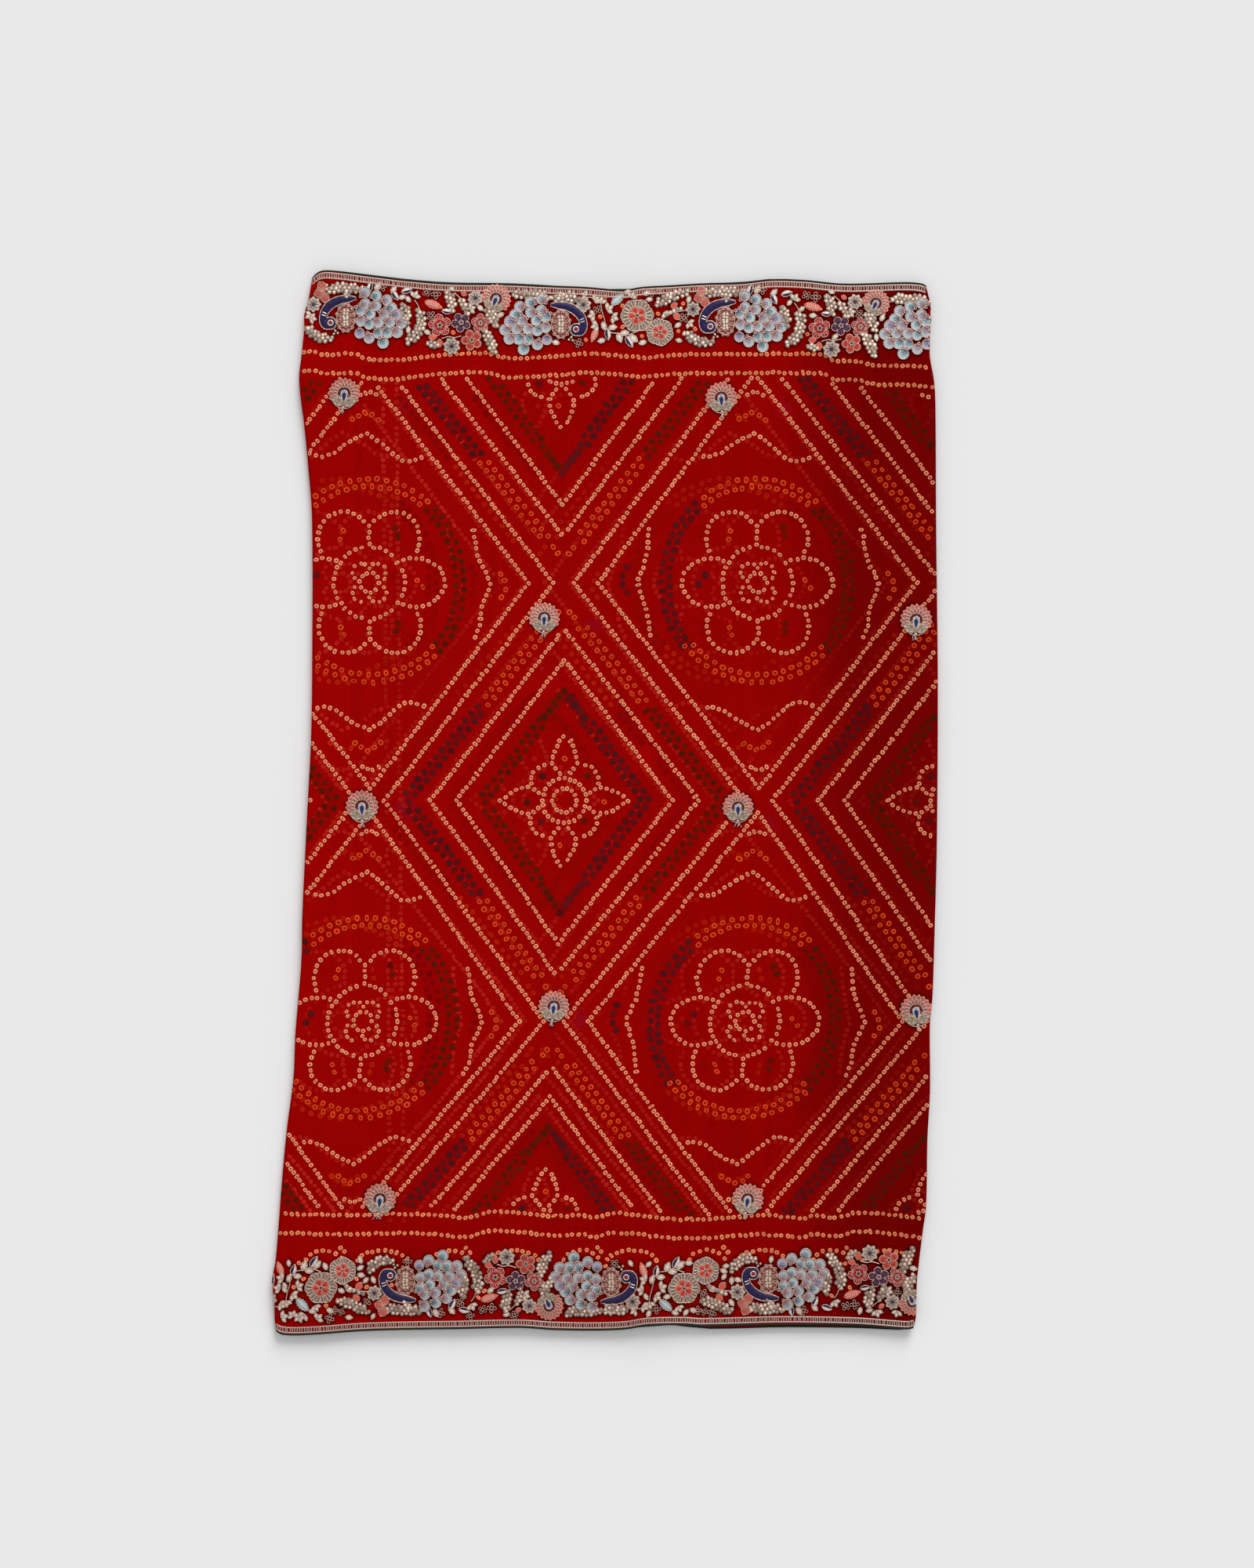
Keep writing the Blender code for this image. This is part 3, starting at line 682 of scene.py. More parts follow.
# Tops of the scallops that peek out above the bottom border: x of the middle, half width, 1 where the end
# curls in
SCALLOPS = [
    (-268, 17.5, 1), (-213, 24, 0), (-148, 17.5, 1), (-87, 24, 0), (-22.5, 17.5, 1),
    (25.5, 24, 0), (98, 17.5, 1), (150, 24, 0), (216, 17.5, 1), (269, 24, 0),
]
tied = tied_cloth(range(-1, 2))
scallop_rows = []
for x, half, curled in SCALLOPS:
    bow = evenly(arc(x, -440, half, 11.5, 168, 24 if curled else 12), 6.0)
    scallop_rows.append(np.column_stack([bow, np.full(len(bow), 1.0)]))
    if curled:
        for across, up in ((15, -426), (19, -430), (17.5, -434)):
            scallop_rows.append(np.array([[x + across, up, 0.6, 1.0]]))
lines = dotted_lines(TOP_LINE, -293, 316, 5.6) + dotted_lines(BOTTOM_LINE, -316, 308, 5.7)
tied["amber"] = np.vstack(lines + scallop_rows)


def within_folds(spots, left_past=2.4, right_past=0.6):
    """The spots that lie on the flat of the top layer or a little way round its folds."""
    start, end = fold_limits(spots[:, 0], spots[:, 1])
    return spots[(spots[:, 0] > start - left_past) & (spots[:, 0] < end + right_past)]


def dye_piece(name, spots, profile, corner, strength=1.0):
    """One shown piece with a dot at every spot, from the radius, height, colour and dye of its rings."""
    form, faces = ring_form([(r, h) for r, h, _, _ in profile], DOT_SIDES, corner)
    colours = ring_tints([c for _, _, c, _ in profile], DOT_SIDES)
    fades = ring_tints([(d,) for _, _, _, d in profile], DOT_SIDES)[:, 0]
    points, where, tints = stamped(spots, form, faces, colours, fades, strength)
    piece = mesh_piece(name, points, where, tinted, tints)


for kind, profile in DOT_KINDS.items():
    spots = spread_apart(within_folds(tied[kind]), LEAST_APART[kind])
    halves = np.array_split(spots, 2) if kind == "ivory" else [spots]
    for number, share in enumerate(halves, 1):
        taken = hand.uniform(WEAKEST[kind], 1.0, len(share))
        corner = 0.0 if kind in ("navy", "green") else SQUARENESS
        dye_piece(f"{kind}_dots_{number}", share, profile, corner, taken)

# The second layer's dots that show through the sheer top one. The pattern goes on round the right fold and
# comes back under itself, so it shows mirrored at that fold, fainter in some places than in others.
SHOWN_THROUGH = {
    "ivory": [
        (2.5, 0.06, (0.4, 0.002, 0.001), 0), (1.7, 0.06, (0.52, 0.024, 0.014), 1),
        (0, 0.06, (0.30, 0.003, 0.002), 1),
    ],
    "orange": [
        (3.0, 0.06, (0.4, 0.002, 0.001), 0), (2.1, 0.06, (0.50, 0.024, 0.004), 1),
        (0, 0.06, (0.30, 0.003, 0.001), 1),
    ],
    "navy": [
        (4.2, 0.06, (0.3, 0.002, 0.002), 0), (2.6, 0.06, (0.165, 0.001, 0.002), 1),
        (0, 0.06, (0.15, 0.001, 0.002), 1),
    ],
    "green": [
        (4.2, 0.06, (0.3, 0.002, 0.001), 0), (2.4, 0.06, (0.18, 0.002, 0.001), 1),
        (0, 0.06, (0.17, 0.002, 0.001), 1),
    ],
}
under = tied_cloth(range(1, 4))
# Two dotted lines that run up the cloth near one end of it, at the left in the second layer
for x_low, x_high in ((-205, -212), (-192, -199)):
    y = np.arange(-400, 400, 6.1)
    line = np.column_stack([np.interp(y, [-400, 400], [x_low, x_high]), y, 0 * y, 0 * y + 1])
    line[:, 0] = 2 * reading(RIGHT_FOLD, y) - line[:, 0]
    under["ivory"] = np.vstack([under["ivory"], line])
for kind, profile in SHOWN_THROUGH.items():
    spots = under[kind].copy()
    spots[:, 0] = 2 * reading(RIGHT_FOLD, spots[:, 1]) - spots[:, 0]
    spots = spread_apart(within_folds(spots, 0, 0), LEAST_APART[kind])
    x, y = spots[:, 0], spots[:, 1]
    patchy = 0.62 + 0.38 * np.sin(x / 52 + 1.3) * np.sin(y / 83 + 0.4) + hand.normal(0, 0.1, len(x))
    strength = np.clip(patchy * np.interp(x, [-290, -60, 120, 230], [0.9, 0.65, 0.6, 0.35]), 0.08, 1)
    dye_piece(f"{kind}_dots_shown_through", spots, profile, 0.0, strength)
# The second layer's buttis that show through the top one, dark streaks of painted shade along folds and
# creases, and two lighter patches: x, y, half across, half along, turn in degrees, colour, how much shows
SHOWN_THROUGH_AND_FOLD_SHADE = [
    (-190, 379, 11, 12, 0, (0.20, 0.006, 0.02), 0.5), (171, 376, 11, 12, 0, (0.22, 0.005, 0.02), 0.35),
    (-11, 166, 11, 12, 0, (0.21, 0.005, 0.02), 0.35), (161, -19, 11, 12, 0, (0.20, 0.004, 0.02), 0.4),
    (-190, -6, 12, 13, 0, (0.12, 0.006, 0.03), 0.6), (-25, -208, 11, 12, 0, (0.20, 0.005, 0.02), 0.4),
    (-236, 320, 5, 75, 1, (0.22, 0.001, 0.001), 0.6), (-181, 360, 7, 50, 0, (0.20, 0.001, 0.001), 0.6),
    (-107, 215, 5, 40, 0, (0.21, 0.001, 0.001), 0.6), (-236, 60, 6, 90, 1, (0.24, 0.001, 0.001), 0.5),
    (-205, 40, 5, 80, 0, (0.24, 0.001, 0.001), 0.5), (-232, -160, 9, 80, 0, (0.24, 0.001, 0.001), 0.5),
    (-190, -200, 6, 60, 0, (0.24, 0.001, 0.001), 0.4), (94, 100, 22, 7, 20, (0.23, 0.001, 0.001), 0.5),
    (40, 60, 10, 60, 0, (0.40, 0.001, 0.001), 0.4), (-60, 110, 40, 16, 0, (0.37, 0.001, 0.001), 0.3),
]
form, faces = ring_form([(1, 0.05), (0.5, 0.05), (0, 0.05)], 14)
points, where, tints, total = [], [], [], 0
for x, y, half_across, half_along, turn, colour, shows in SHOWN_THROUGH_AND_FOLD_SHADE:
    c, s = facing(turn)
    across, along = form[:, 0] * half_across, form[:, 1] * half_along
    px, py = x + across * c - along * s, y + across * s + along * c
    points.append(on_top(px, py, form[:, 2]))
    where.append(faces + total)
    total += len(form)
    taken = np.array([0.0] * 14 + [0.6 * shows] * 14 + [shows])[:, None]
    tints.append(np.array(colour) * taken + ground_at(px, py) * (1 - taken))
points, where, tints = (np.vstack(rows) for rows in (points, where, tints))
shown_through_piece = mesh_piece("shown_through_and_fold_shade", points, where, tinted, tints)

# The silver edging. The real one is a narrow ladder of metal thread sewn on the face of the cloth along
# both long edges before it was folded: two cords with a bar between them every few millimetres.
EDGING_CORDS = (2.7, 7.5)
CORD_RADIUS = 0.75
RUNG_PITCH = 2.3
STEPS_A_MM = 10
SILVER = (0.62, 0.49, 0.42)
# The silver in painted shade, for the cords' shaded edges and the rims of seed beads, and a painted highlight
# for the bars' tops
SILVER_SHADED = (0.12, 0.05, 0.035)
SILVER_BRIGHT = (0.88, 0.84, 0.77)
RUNG_HIGHLIGHT = (0.62, 0.46, 0.39)
# The four long lines of a bar: steps along from the first, height, tint; the raised two carry a painted
# highlight and the last painted shade
RUNG_ROWS = [(0, 0, SILVER), (2, 0.6, RUNG_HIGHLIGHT), (10, 0.6, RUNG_HIGHLIGHT), (13, 0, SILVER_SHADED)]


def edge_path(upper, inset, step=1.5):
    """The cloth's face along a line at one distance in from a long edge: points and the ways out of it."""
    even = LOWEST_ROW + (ROWS_RUN if upper else 0.0)
    x, z, top, follow = (v[0] for v in folded_line([even]))
    y = edge_at(x, top, upper) + (-inset if upper else inset)
    z = z + follow * (lift(x, y) - lift(x, even))
    run = np.concatenate([[0], np.cumsum(np.hypot(np.diff(x), np.diff(z)))])
    at = np.arange(0, run[-1], step)
    x, y, z = (np.interp(at, run, v) for v in (x, y, z))
    way = np.column_stack([np.gradient(x), np.gradient(z)])
    way /= np.linalg.norm(way, axis=1)[:, None]
    return np.column_stack([x, y, z]), np.column_stack([-way[:, 1], 0 * x, way[:, 0]])


def swept(rows):
    """Triangles between successive rows of points."""
    count, wide = rows.shape[:2]
    a = (np.arange(count - 1)[:, None] * wide + np.arange(wide - 1)[None, :]).ravel()
    b = a + wide
    return np.vstack([np.stack([a, a + 1, b + 1], axis=1), np.stack([a, b + 1, b], axis=1)])


def ladder(upper):
    """Both cords and all bars of one edging: points, triangles and tints."""
    points, faces, tints, total = [], [], [], 0
    for inset in EDGING_CORDS:
        at, out = edge_path(upper, inset)
        rows = []
        for across, up in ((-1, 0), (-0.5, 0.95), (0.5, 0.95), (1, 0)):
            row = at + out * (SHEET_THICKNESS / 2 + up * CORD_RADIUS)
            row[:, 1] += across * CORD_RADIUS
            rows.append(row)
        rows = np.stack(rows, axis=1)
        # Alternate steps are lighter and darker, painted highlight and shade on the twisted cord, and across
        # it one upper line is a painted highlight and the outer edge painted shade
        shade = np.where(np.arange(len(at)) % 2, 0.62, 1.1)[:, None, None]
        points.append(rows.reshape(-1, 3))
        faces.append(swept(rows) + total)
        tints.append((np.array([SILVER, RUNG_HIGHLIGHT, SILVER, SILVER_SHADED])[None] * shade).reshape(-1, 3))
        total += len(points[-1])
    near, out = edge_path(upper, EDGING_CORDS[0], 1 / STEPS_A_MM)
    far, _ = edge_path(upper, EDGING_CORDS[1], 1 / STEPS_A_MM)
    count = min(len(near), len(far))
    starts = np.arange(6, count - 12, RUNG_PITCH * STEPS_A_MM)
    starts = np.clip(starts + hand.normal(0, 2, len(starts)), 6, count - 16).astype(int)
    slant = hand.integers(-3, 8, len(starts))
    for across, up, tint in RUNG_ROWS:
        i = np.clip(starts + across, 0, count - 1)
        j = np.clip(i + slant, 0, count - 1)
        for ends in (near[i], far[j]):
            points.append(ends + out[i] * (SHEET_THICKNESS / 2 + up))
            tints.append(np.tile(np.array(tint) * 0.85, (len(i), 1)))
    n = len(starts)
    base = total + np.arange(n)
    for k in range(3):
        a, b, c, d = (base + n * (2 * k + m) for m in range(4))
        faces += [np.stack([a, b, d], axis=1), np.stack([a, d, c], axis=1)]
    return np.vstack(points), np.vstack(faces), np.vstack(tints)


metal = tinted_material("silver_thread", Metallic=0.35, Roughness=0.42)
# How bright each edging is shown, both a little dulled, the bottom one darker still as painted shade where
# the light falls off towards the cloth's foot
for where, upper, bright in (("bottom", False, 0.76), ("top", True, 0.92)):
    points, faces, tints = ladder(upper)
    edging = mesh_piece(f"silver_ladder_edging_{where}", points, faces, metal, tints * bright)
    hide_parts(f"silver_edging_{where}")

# The green piping. The real one is a thin roll of dark green cloth over a cord, sewn along the very edge
# of the cloth so that it peeks out beyond the silver edging.
PIPING_RADIUS = 0.75
PIPING_GREEN = (0.006, 0.020, 0.010, 1)
green, *_ = plain_nodes("dark_green_piping", Base_Color=PIPING_GREEN, Roughness=0.7, Specular_IOR_Level=0.2)
for where, upper in (("bottom", False), ("top", True)):
    at, out = edge_path(upper, PIPING_RADIUS, 2.5)
    rows = []
    for a in np.linspace(0, 2 * math.pi, 9):
        rows.append(at + out * PIPING_RADIUS * math.sin(a) + np.array([0, PIPING_RADIUS * math.cos(a), 0]))
    rows = np.stack(rows, axis=1)
    piping = mesh_piece(f"green_piping_roll_{where}", rows.reshape(-1, 3), swept(rows), green)
    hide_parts(f"green_piping_{where}")

# The embroidered borders. The real ones are hand work in metal thread, beads and silk along both edges:
# peacocks with fans of shell-shaped feathers, carnations, small flowers, buds, leaves and sprays of beads.
# Each form is stitched once about its own middle, x outwards from its root, then sewn on many times.
NAVY = (0.015, 0.008, 0.072)
BLUE = (0.24, 0.43, 0.51)
BLUE_PALE = (0.50, 0.68, 0.74)
CORAL = (0.68, 0.115, 0.075)
PINK = (0.66, 0.20, 0.155)
RED = (0.40, 0.010, 0.012)
PURPLE = (0.055, 0.008, 0.060)
WHITE = (0.86, 0.84, 0.80)
WINE = (0.11, 0.008, 0.008)
HEART_SILVER = (0.66, 0.54, 0.47)
CORAL_EDGE = (0.6, 0.36, 0.29)
# A bead's colours from its rim to its middle: a dark ring of painted shade round it, its wire, a dark groove
# of painted shade inside the wire, its body, and a painted highlight
BEAD_TINTS_SHADE_AND_HIGHLIGHT = (
    (0.12, 0.05, 0.035), (0.62, 0.46, 0.38), (0.20, 0.145, 0.085), (0.76, 0.69, 0.56), (1.0, 0.97, 0.90),
)
# Its rings from the rim to the middle as shares of its radius: reach, height
BEAD_RINGS = [(1, 0), (0.86, 0.28), (0.66, 0.12), (0.46, 0.3), (0, 0.34)]


class Needlework:
    """Stitches gathered by kind of thread: points in mm with height off the cloth, triangles, tints."""

    def __init__(self):
        self.threads = {}

    def add(self, thread, points, faces, tints):
        self.threads.setdefault(thread, []).append((points, faces, tints))

    def cord(self, path, radius, tint=SILVER, height=0.3, closed=False, thread="silver_thread", twist_shade=0.3):
        """A twisted cord couched along a path."""
        path = np.asarray(path, float)
        if closed:
            path = np.vstack([path, path[:1]])
        way = np.gradient(path, axis=0)
        if closed:
            way[0] = way[-1] = path[1] - path[-2]
        way /= np.maximum(np.linalg.norm(way, axis=1), 1e-6)[:, None]
        side = np.column_stack([-way[:, 1], way[:, 0]])
        rows = [
            np.column_stack([path + side * radius * across, np.full(len(path), height + up * radius)])
            for across, up in ((1, -0.3), (0.5, 0.8), (-0.5, 0.8), (-1, -0.3))
        ]
        rows = np.stack(rows, axis=1)
        # Alternate steps are lighter and darker, painted highlight and shade on its twists, and both edges
        # are darkened as painted shade where it meets what lies under it
        shade = 1 + twist_shade * np.where(np.arange(len(path)) % 2, 1, -1)[:, None, None]
        edge = np.array(tint) * 0.22
        tints = np.array([edge, tint, tint, edge])[None] * shade
        self.add(thread, rows.reshape(-1, 3), swept(rows), tints.reshape(-1, 3))

    def satin(self, outline, middle, thread, inner, outer, height=0.25, crown=0.55, streak=0.15):
        """A patch of satin stitch that fans out from a middle to its outline."""
        outline, middle = np.asarray(outline, float), np.asarray(middle, float)
        n = len(outline)
        half = middle + (outline - middle) * 0.55
        shade = (1 + streak * np.where(np.arange(n) % 2, 1, -1))[:, None]
        points = np.vstack([
            np.column_stack([outline, np.full(n, height)]),
            np.column_stack([half, np.full(n, height + crown)]),
            [[*middle, height + crown]],
        ])
        inner, outer = np.array(inner), np.array(outer)
        tints = np.vstack([outer * shade, (inner * 0.4 + outer * 0.6) * shade, [inner]])
        i = np.arange(n)
        j = (i + 1) % n
        rim = [np.stack([i, j, j + n], 1), np.stack([i, j + n, i + n], 1)]
        faces = np.vstack([*rim, np.stack([i + n, j + n, 0 * i + 2 * n], 1)])
        self.add(thread, points, faces, tints)

    def bead(
        self, x, y, radius, tints=BEAD_TINTS_SHADE_AND_HIGHLIGHT, stretch=1.0, turn=0.0, height=0.1, thread="silver_thread",
        sides=7,
    ):
        """A low round or drop-shaped bead in its rim of wire."""
        form, faces = ring_form([(radius * reach, radius * up) for reach, up in BEAD_RINGS], sides)
        form[:, 1] *= 1 + 1.6 * abs(stretch - 1) * np.clip(form[:, 0] / radius, -1, 0)
        form[:, 0] *= np.where(form[:, 0] > 0, 2 - stretch, stretch)
        # The middle point, which carries the painted highlight, sits a little off centre
        form[-1, :2] = (0.18 * radius, 0.12 * radius)
        c, s = math.cos(turn), math.sin(turn)
        px, py, up = form.T
        points = np.column_stack([x + px * c - py * s, y + px * s + py * c, up + height])
        self.add(thread, points, faces, ring_tints([np.array(t) for t in tints], sides))

    def sew(self, other, x=0.0, y=0.0, turn=0.0, size=1.0, mirror=1, up=1, lift=0.0):
        """Sews on a copy of other work: turned in degrees, then mirrored across or upside down."""
        c, s = facing(turn)
        shade = 1 + hand.normal(0, 0.05)
        for thread, parts in other.threads.items():
            for points, faces, tints in parts:
                across, along, high = points.T
                px, py = size * (across * c - along * s), size * (across * s + along * c)
                moved = np.column_stack([x + mirror * px, y + up * py, high + lift])
                self.add(thread, moved, faces[:, ::-1] if mirror * up < 0 else faces, tints * shade)

    def places(self):
        """Where all of its stitches lie, across and up the cloth."""
        return np.vstack([points[:, :2] for parts in self.threads.values() for points, _, _ in parts])

    def joined(self, thread):
        """All stitches of one thread together."""
        points, faces, tints, total = [], [], [], 0
        for p, f, t in self.threads[thread]:
            points.append(p)
            faces.append(f + total)
            tints.append(t)
            total += len(p)
        return np.vstack(points), np.vstack(faces), np.vstack(tints).clip(0, 1)


def polar(radius, angle):
    """The point at a distance and a direction in radians from the origin."""
    return radius * math.cos(angle), radius * math.sin(angle)


def circle(x, y, radius, steps, start=0.0, end=360.0):
    """Points along a circle or a part of one."""
    angle = np.radians(np.linspace(start, end, steps, endpoint=end - start < 360))
    return np.column_stack([x + radius * np.cos(angle), y + radius * np.sin(angle)])


def petal(length, width, fullness, steps):
    """A petal's outline from its root along x, widest towards its tip as fullness grows."""
    t = np.linspace(0, 1, steps)
    half = width / 2 * np.sin(math.pi * t**fullness) ** 0.75
    upper = np.column_stack([length * t, half])
    return np.vstack([upper, (upper * [1, -1])[-2:0:-1]])


def fanned(form, count, radius, start=0.0, end=360.0):
    """Copies of a form set round a ring and pointing outwards."""
    work = Needlework()
    for angle in np.linspace(start, end, count, endpoint=end - start < 360):
        work.sew(form, *polar(radius, math.radians(angle)), angle)
    return work


def shell(reach, radius, steps):
    """The outline of a shell from its root at the origin, round towards its tip."""
    angle = np.radians(np.linspace(-132, 132, steps))
    rim = np.column_stack([reach - radius + radius * np.cos(angle), radius * np.sin(angle)])
    return np.vstack([[0, 0], rim])


def feather(stitch_tint, stitch_thread, blue=BLUE, pale=BLUE_PALE):
    """One shell-shaped tail feather."""
    work = Needlework()
    shape = shell(10.6, 4.9, 19)
    work.satin(shape, (1.6, 0), "blue_thread", blue, pale, crown=0.4, streak=0.24)
    for angle in (-46, -28, -10, 8, 26, 46):
        a = math.radians(angle)
        reach = 7.4 - 1.6 * abs(angle) / 44
        stitch = [polar(1.6, a), (reach * math.cos(a), reach * math.sin(a) * 0.85)]
        work.cord(stitch, 0.27, stitch_tint, 0.65, thread=stitch_thread, twist_shade=0)
    work.cord(shape, 0.46, (0.66, 0.50, 0.45), 0.4, closed=True)
    work.cord(circle(0.4, 0, 1.5, 6), 0.42, (0.66, 0.46, 0.40), 0.9, closed=True)
    return work


NAVY_FEATHER = feather(NAVY, "navy_satin")
RED_FEATHER = feather((0.40, 0.03, 0.06), "red_thread", (0.28, 0.42, 0.49), (0.48, 0.62, 0.68))
LILAC_FEATHER = feather((0.10, 0.02, 0.16), "purple_thread", (0.30, 0.34, 0.50), (0.48, 0.54, 0.68))
# The feathers' middles from the middle of the tail, the last ones sewn lying uppermost: across, up
FEATHERS = [
    (1.4, -23), (-12, -18.3), (-20.7, -13.9), (-3.8, -14.4), (5.3, -13.5), (14.4, -13.5), (19.2, -5.3),
    (-19.7, -2.4), (-12, -6.3), (-2.9, -3.8), (7.2, -3.4), (13.5, 3.2), (1.4, 3.8), (-11, 3.8),
    (-21, 7.6), (9.6, 9.6), (-5.8, 11), (4.3, 16.4), (-16.3, 13.9), (-5.8, 20.5), (-16.3, 23.5),
]
TAIL_MIDDLE = 34.5
TAIL_ROOT = (-26, 10)
# From a feather's root to its middle
FEATHER_BACK = 5.0


def tail():
    """A peacock's fan of feathers, from the middle of its body."""
    work = Needlework()
    for k, (across, up) in enumerate(FEATHERS):
        x, y = across + hand.normal(0, 0.4), up + hand.normal(0, 0.4)
        angle = math.degrees(math.atan2(y - TAIL_ROOT[1], x - TAIL_ROOT[0])) - 10
        a = math.radians(angle)
        form = (NAVY_FEATHER, RED_FEATHER, LILAC_FEATHER)[hand.choice(3, p=[0.56, 0.35, 0.09])]
        x, y = TAIL_MIDDLE + x - FEATHER_BACK * math.cos(a), y - FEATHER_BACK * math.sin(a)
        work.sew(form, x, y, angle, hand.uniform(0.95, 1.09), lift=0.035 * k)
    return work


# A peacock's neck from its root to its head: across, up, width
NECK = [
    (10, 18.5, 2.5), (3, 18, 6), (-5, 16.8, 7.3), (-13, 13.2, 7.8), (-18.8, 7, 7.4), (-21.3, 0, 6.4),
    (-20.2, -4.8, 7.4), (-18, -7.4, 7.2), (-15.5, -8.2, 5.6),
]
NECK_ROWS = 25
# The middle of its round head, and how far round that reaches
HEAD = (-14.4, -5.3)
HEAD_RADIUS = 5.7
EYE = (-14.0, -5.0)
# The body's oval net, half as wide and half as high as this, and its red of two depths under the net
BODY = (8.8, 13)
BODY_REDS = ((0.36, 0.24, 0.18), (0.26, 0.09, 0.07))


def peacock():
    """A peacock that faces left, about the middle of its body."""
    work = Needlework()
    work.sew(tail())
    rows = np.array(NECK, float)
    t, fine = np.arange(len(rows)), np.linspace(0, len(rows) - 1, NECK_ROWS)
    x, y, wide = (np.array([reading(np.column_stack([t, rows[:, c]]), f) for f in fine]) for c in range(3))
    way = np.column_stack([np.gradient(x), np.gradient(y)])
    way /= np.linalg.norm(way, axis=1)[:, None]
    side = np.column_stack([-way[:, 1], way[:, 0]]) * wide[:, None] / 2
    middle = np.column_stack([x, y])
    cross = [(1, 0.1), (0.6, 1.15), (0, 1.4), (-0.6, 1.15), (-1, 0.1)]
    rows = np.stack([np.column_stack([middle + side * a, np.full(NECK_ROWS, h)]) for a, h in cross], axis=1)
    shade = (1 + 0.22 * np.where(np.arange(NECK_ROWS) % 2, 1, -1))[:, None, None]
    tints = np.array(NAVY)[None, None] * shade * np.ones((1, len(cross), 1))
    work.add("navy_satin", rows.reshape(-1, 3), swept(rows), tints.reshape(-1, 3))
    work.satin(circle(*HEAD, HEAD_RADIUS, 14), HEAD, "navy_satin", NAVY, NAVY, crown=0.95, streak=0.22)
    round_head = circle(*HEAD, HEAD_RADIUS + 0.2, 14, 125, -105)
    outline = [round_head, (middle - side * 1.05)[::-1], (middle + side * 1.05)[:16]]
    work.cord(np.vstack(outline), 0.55, SILVER, 0.4, closed=True)
    for i in (13, 14):
        work.cord([middle[i] + side[i] * 0.7, middle[i] - side[i] * 0.45], 0.55, WHITE, 1.35, twist_shade=0)
    work.cord(circle(*EYE, 2.5, 9), 0.6, WHITE, 1.4, closed=True)
    work.bead(*EYE, 1.6, (WINE, RED, RED, RED, RED), thread="red_thread", height=1.4)
    for x, y in [(-9.5, -12.5), (-7.2, -14.6), (-10.8, -15.4)]:
        work.bead(x, y, 1.3, height=0.2)
    work.cord([(-10.9, -10.2), (-9.5, -12.5)], 0.35)
    # The body: an oval net of metal thread over red, with a bead spine
    net = circle(0.5, 0, 1, 14) * [8.2, 12.2] + [0.5 - 0.5 * 8.2, 0]
    work.satin(net, (0.5, 0), "silver_thread", *BODY_REDS, crown=0.6, streak=0.4)
    oval = circle(0, 0, 1, 20) * BODY + [0.5, 0]
    work.cord(oval, 0.6, (0.62, 0.42, 0.35), 0.4, closed=True)
    for angle in np.arange(15, 375, 30):
        a = math.radians(angle)
        ring = circle(0.5 + 6.3 * math.cos(a), 10.2 * math.sin(a), 1.7, 6)
        work.cord(ring, 0.4, (0.66, 0.48, 0.40), 0.7, closed=True)
    seed = {"tints": (SILVER_SHADED, RED, RED, WINE, WINE), "thread": "red_thread", "height": 0.9, "sides": 6}
    for angle in np.arange(0, 360, 30):
        a = math.radians(angle)
        work.bead(0.5 + 6.5 * math.cos(a), 10.4 * math.sin(a), 1.1, **seed)
        ring = circle(0.5 + 9.2 * math.cos(a + 0.25), 13.4 * math.sin(a + 0.25), 1.3, 5)
        work.cord(ring, 0.4, (0.62, 0.44, 0.37), 0.5, closed=True)
    for y in np.arange(-6.5, 7, 2.6):
        for x in (-1.0, 1.9):
            bx, by = x + hand.normal(0, 0.3), y + hand.normal(0, 0.3)
            work.bead(bx, by, 2.0, height=0.8, stretch=1.2, turn=hand.uniform(1.0, 2.2))
    return work


def looped_petal(length, width, tint, thread, outline, fullness, inner=None, streak=0.12):
    """A satin petal with a loop of cord round it."""
    work = Needlework()
    shape = petal(length, width, fullness, 6)
    work.satin(shape, (length * 0.55, 0), thread, inner or tint, tint, crown=0.4, streak=streak)
    work.cord(shape, 0.42 + 0.014 * max(width - 4, 0), outline, 0.35, closed=True, twist_shade=0.25)
    return work


def small_flower(tint, thread, radius, accent):
    """A five-petalled flower of satin with pale stitches from its beaded middle."""
    one = Needlework()
    shape = shell(radius * 0.82, radius * 0.40, 9)
    shape[2:-1:2] *= [0.95, 0.9]
    one.satin(shape, (radius * 0.42, 0), thread, np.array(tint) * 0.6, tint, crown=0.35, streak=0.25)
    one.cord(shape[1:], 0.38, (0.66, 0.48, 0.42), 0.4, twist_shade=0.25)
    for angle in (-33, -11, 11, 33):
        a = math.radians(angle)
        start, end = radius * 0.3, radius * (0.62 - 0.1 * (abs(angle) > 20))
        one.cord([polar(start, a), polar(end, a)], 0.27, accent, 0.8, twist_shade=0)
    work = fanned(one, 5, radius * 0.2, 18, 378)
    for angle in np.arange(0, 360, 72):
        ring = circle(*polar(radius * 0.2, math.radians(angle)), 0.9, 5)
        work.cord(ring, 0.36, HEART_SILVER, 0.9, closed=True)
    return work


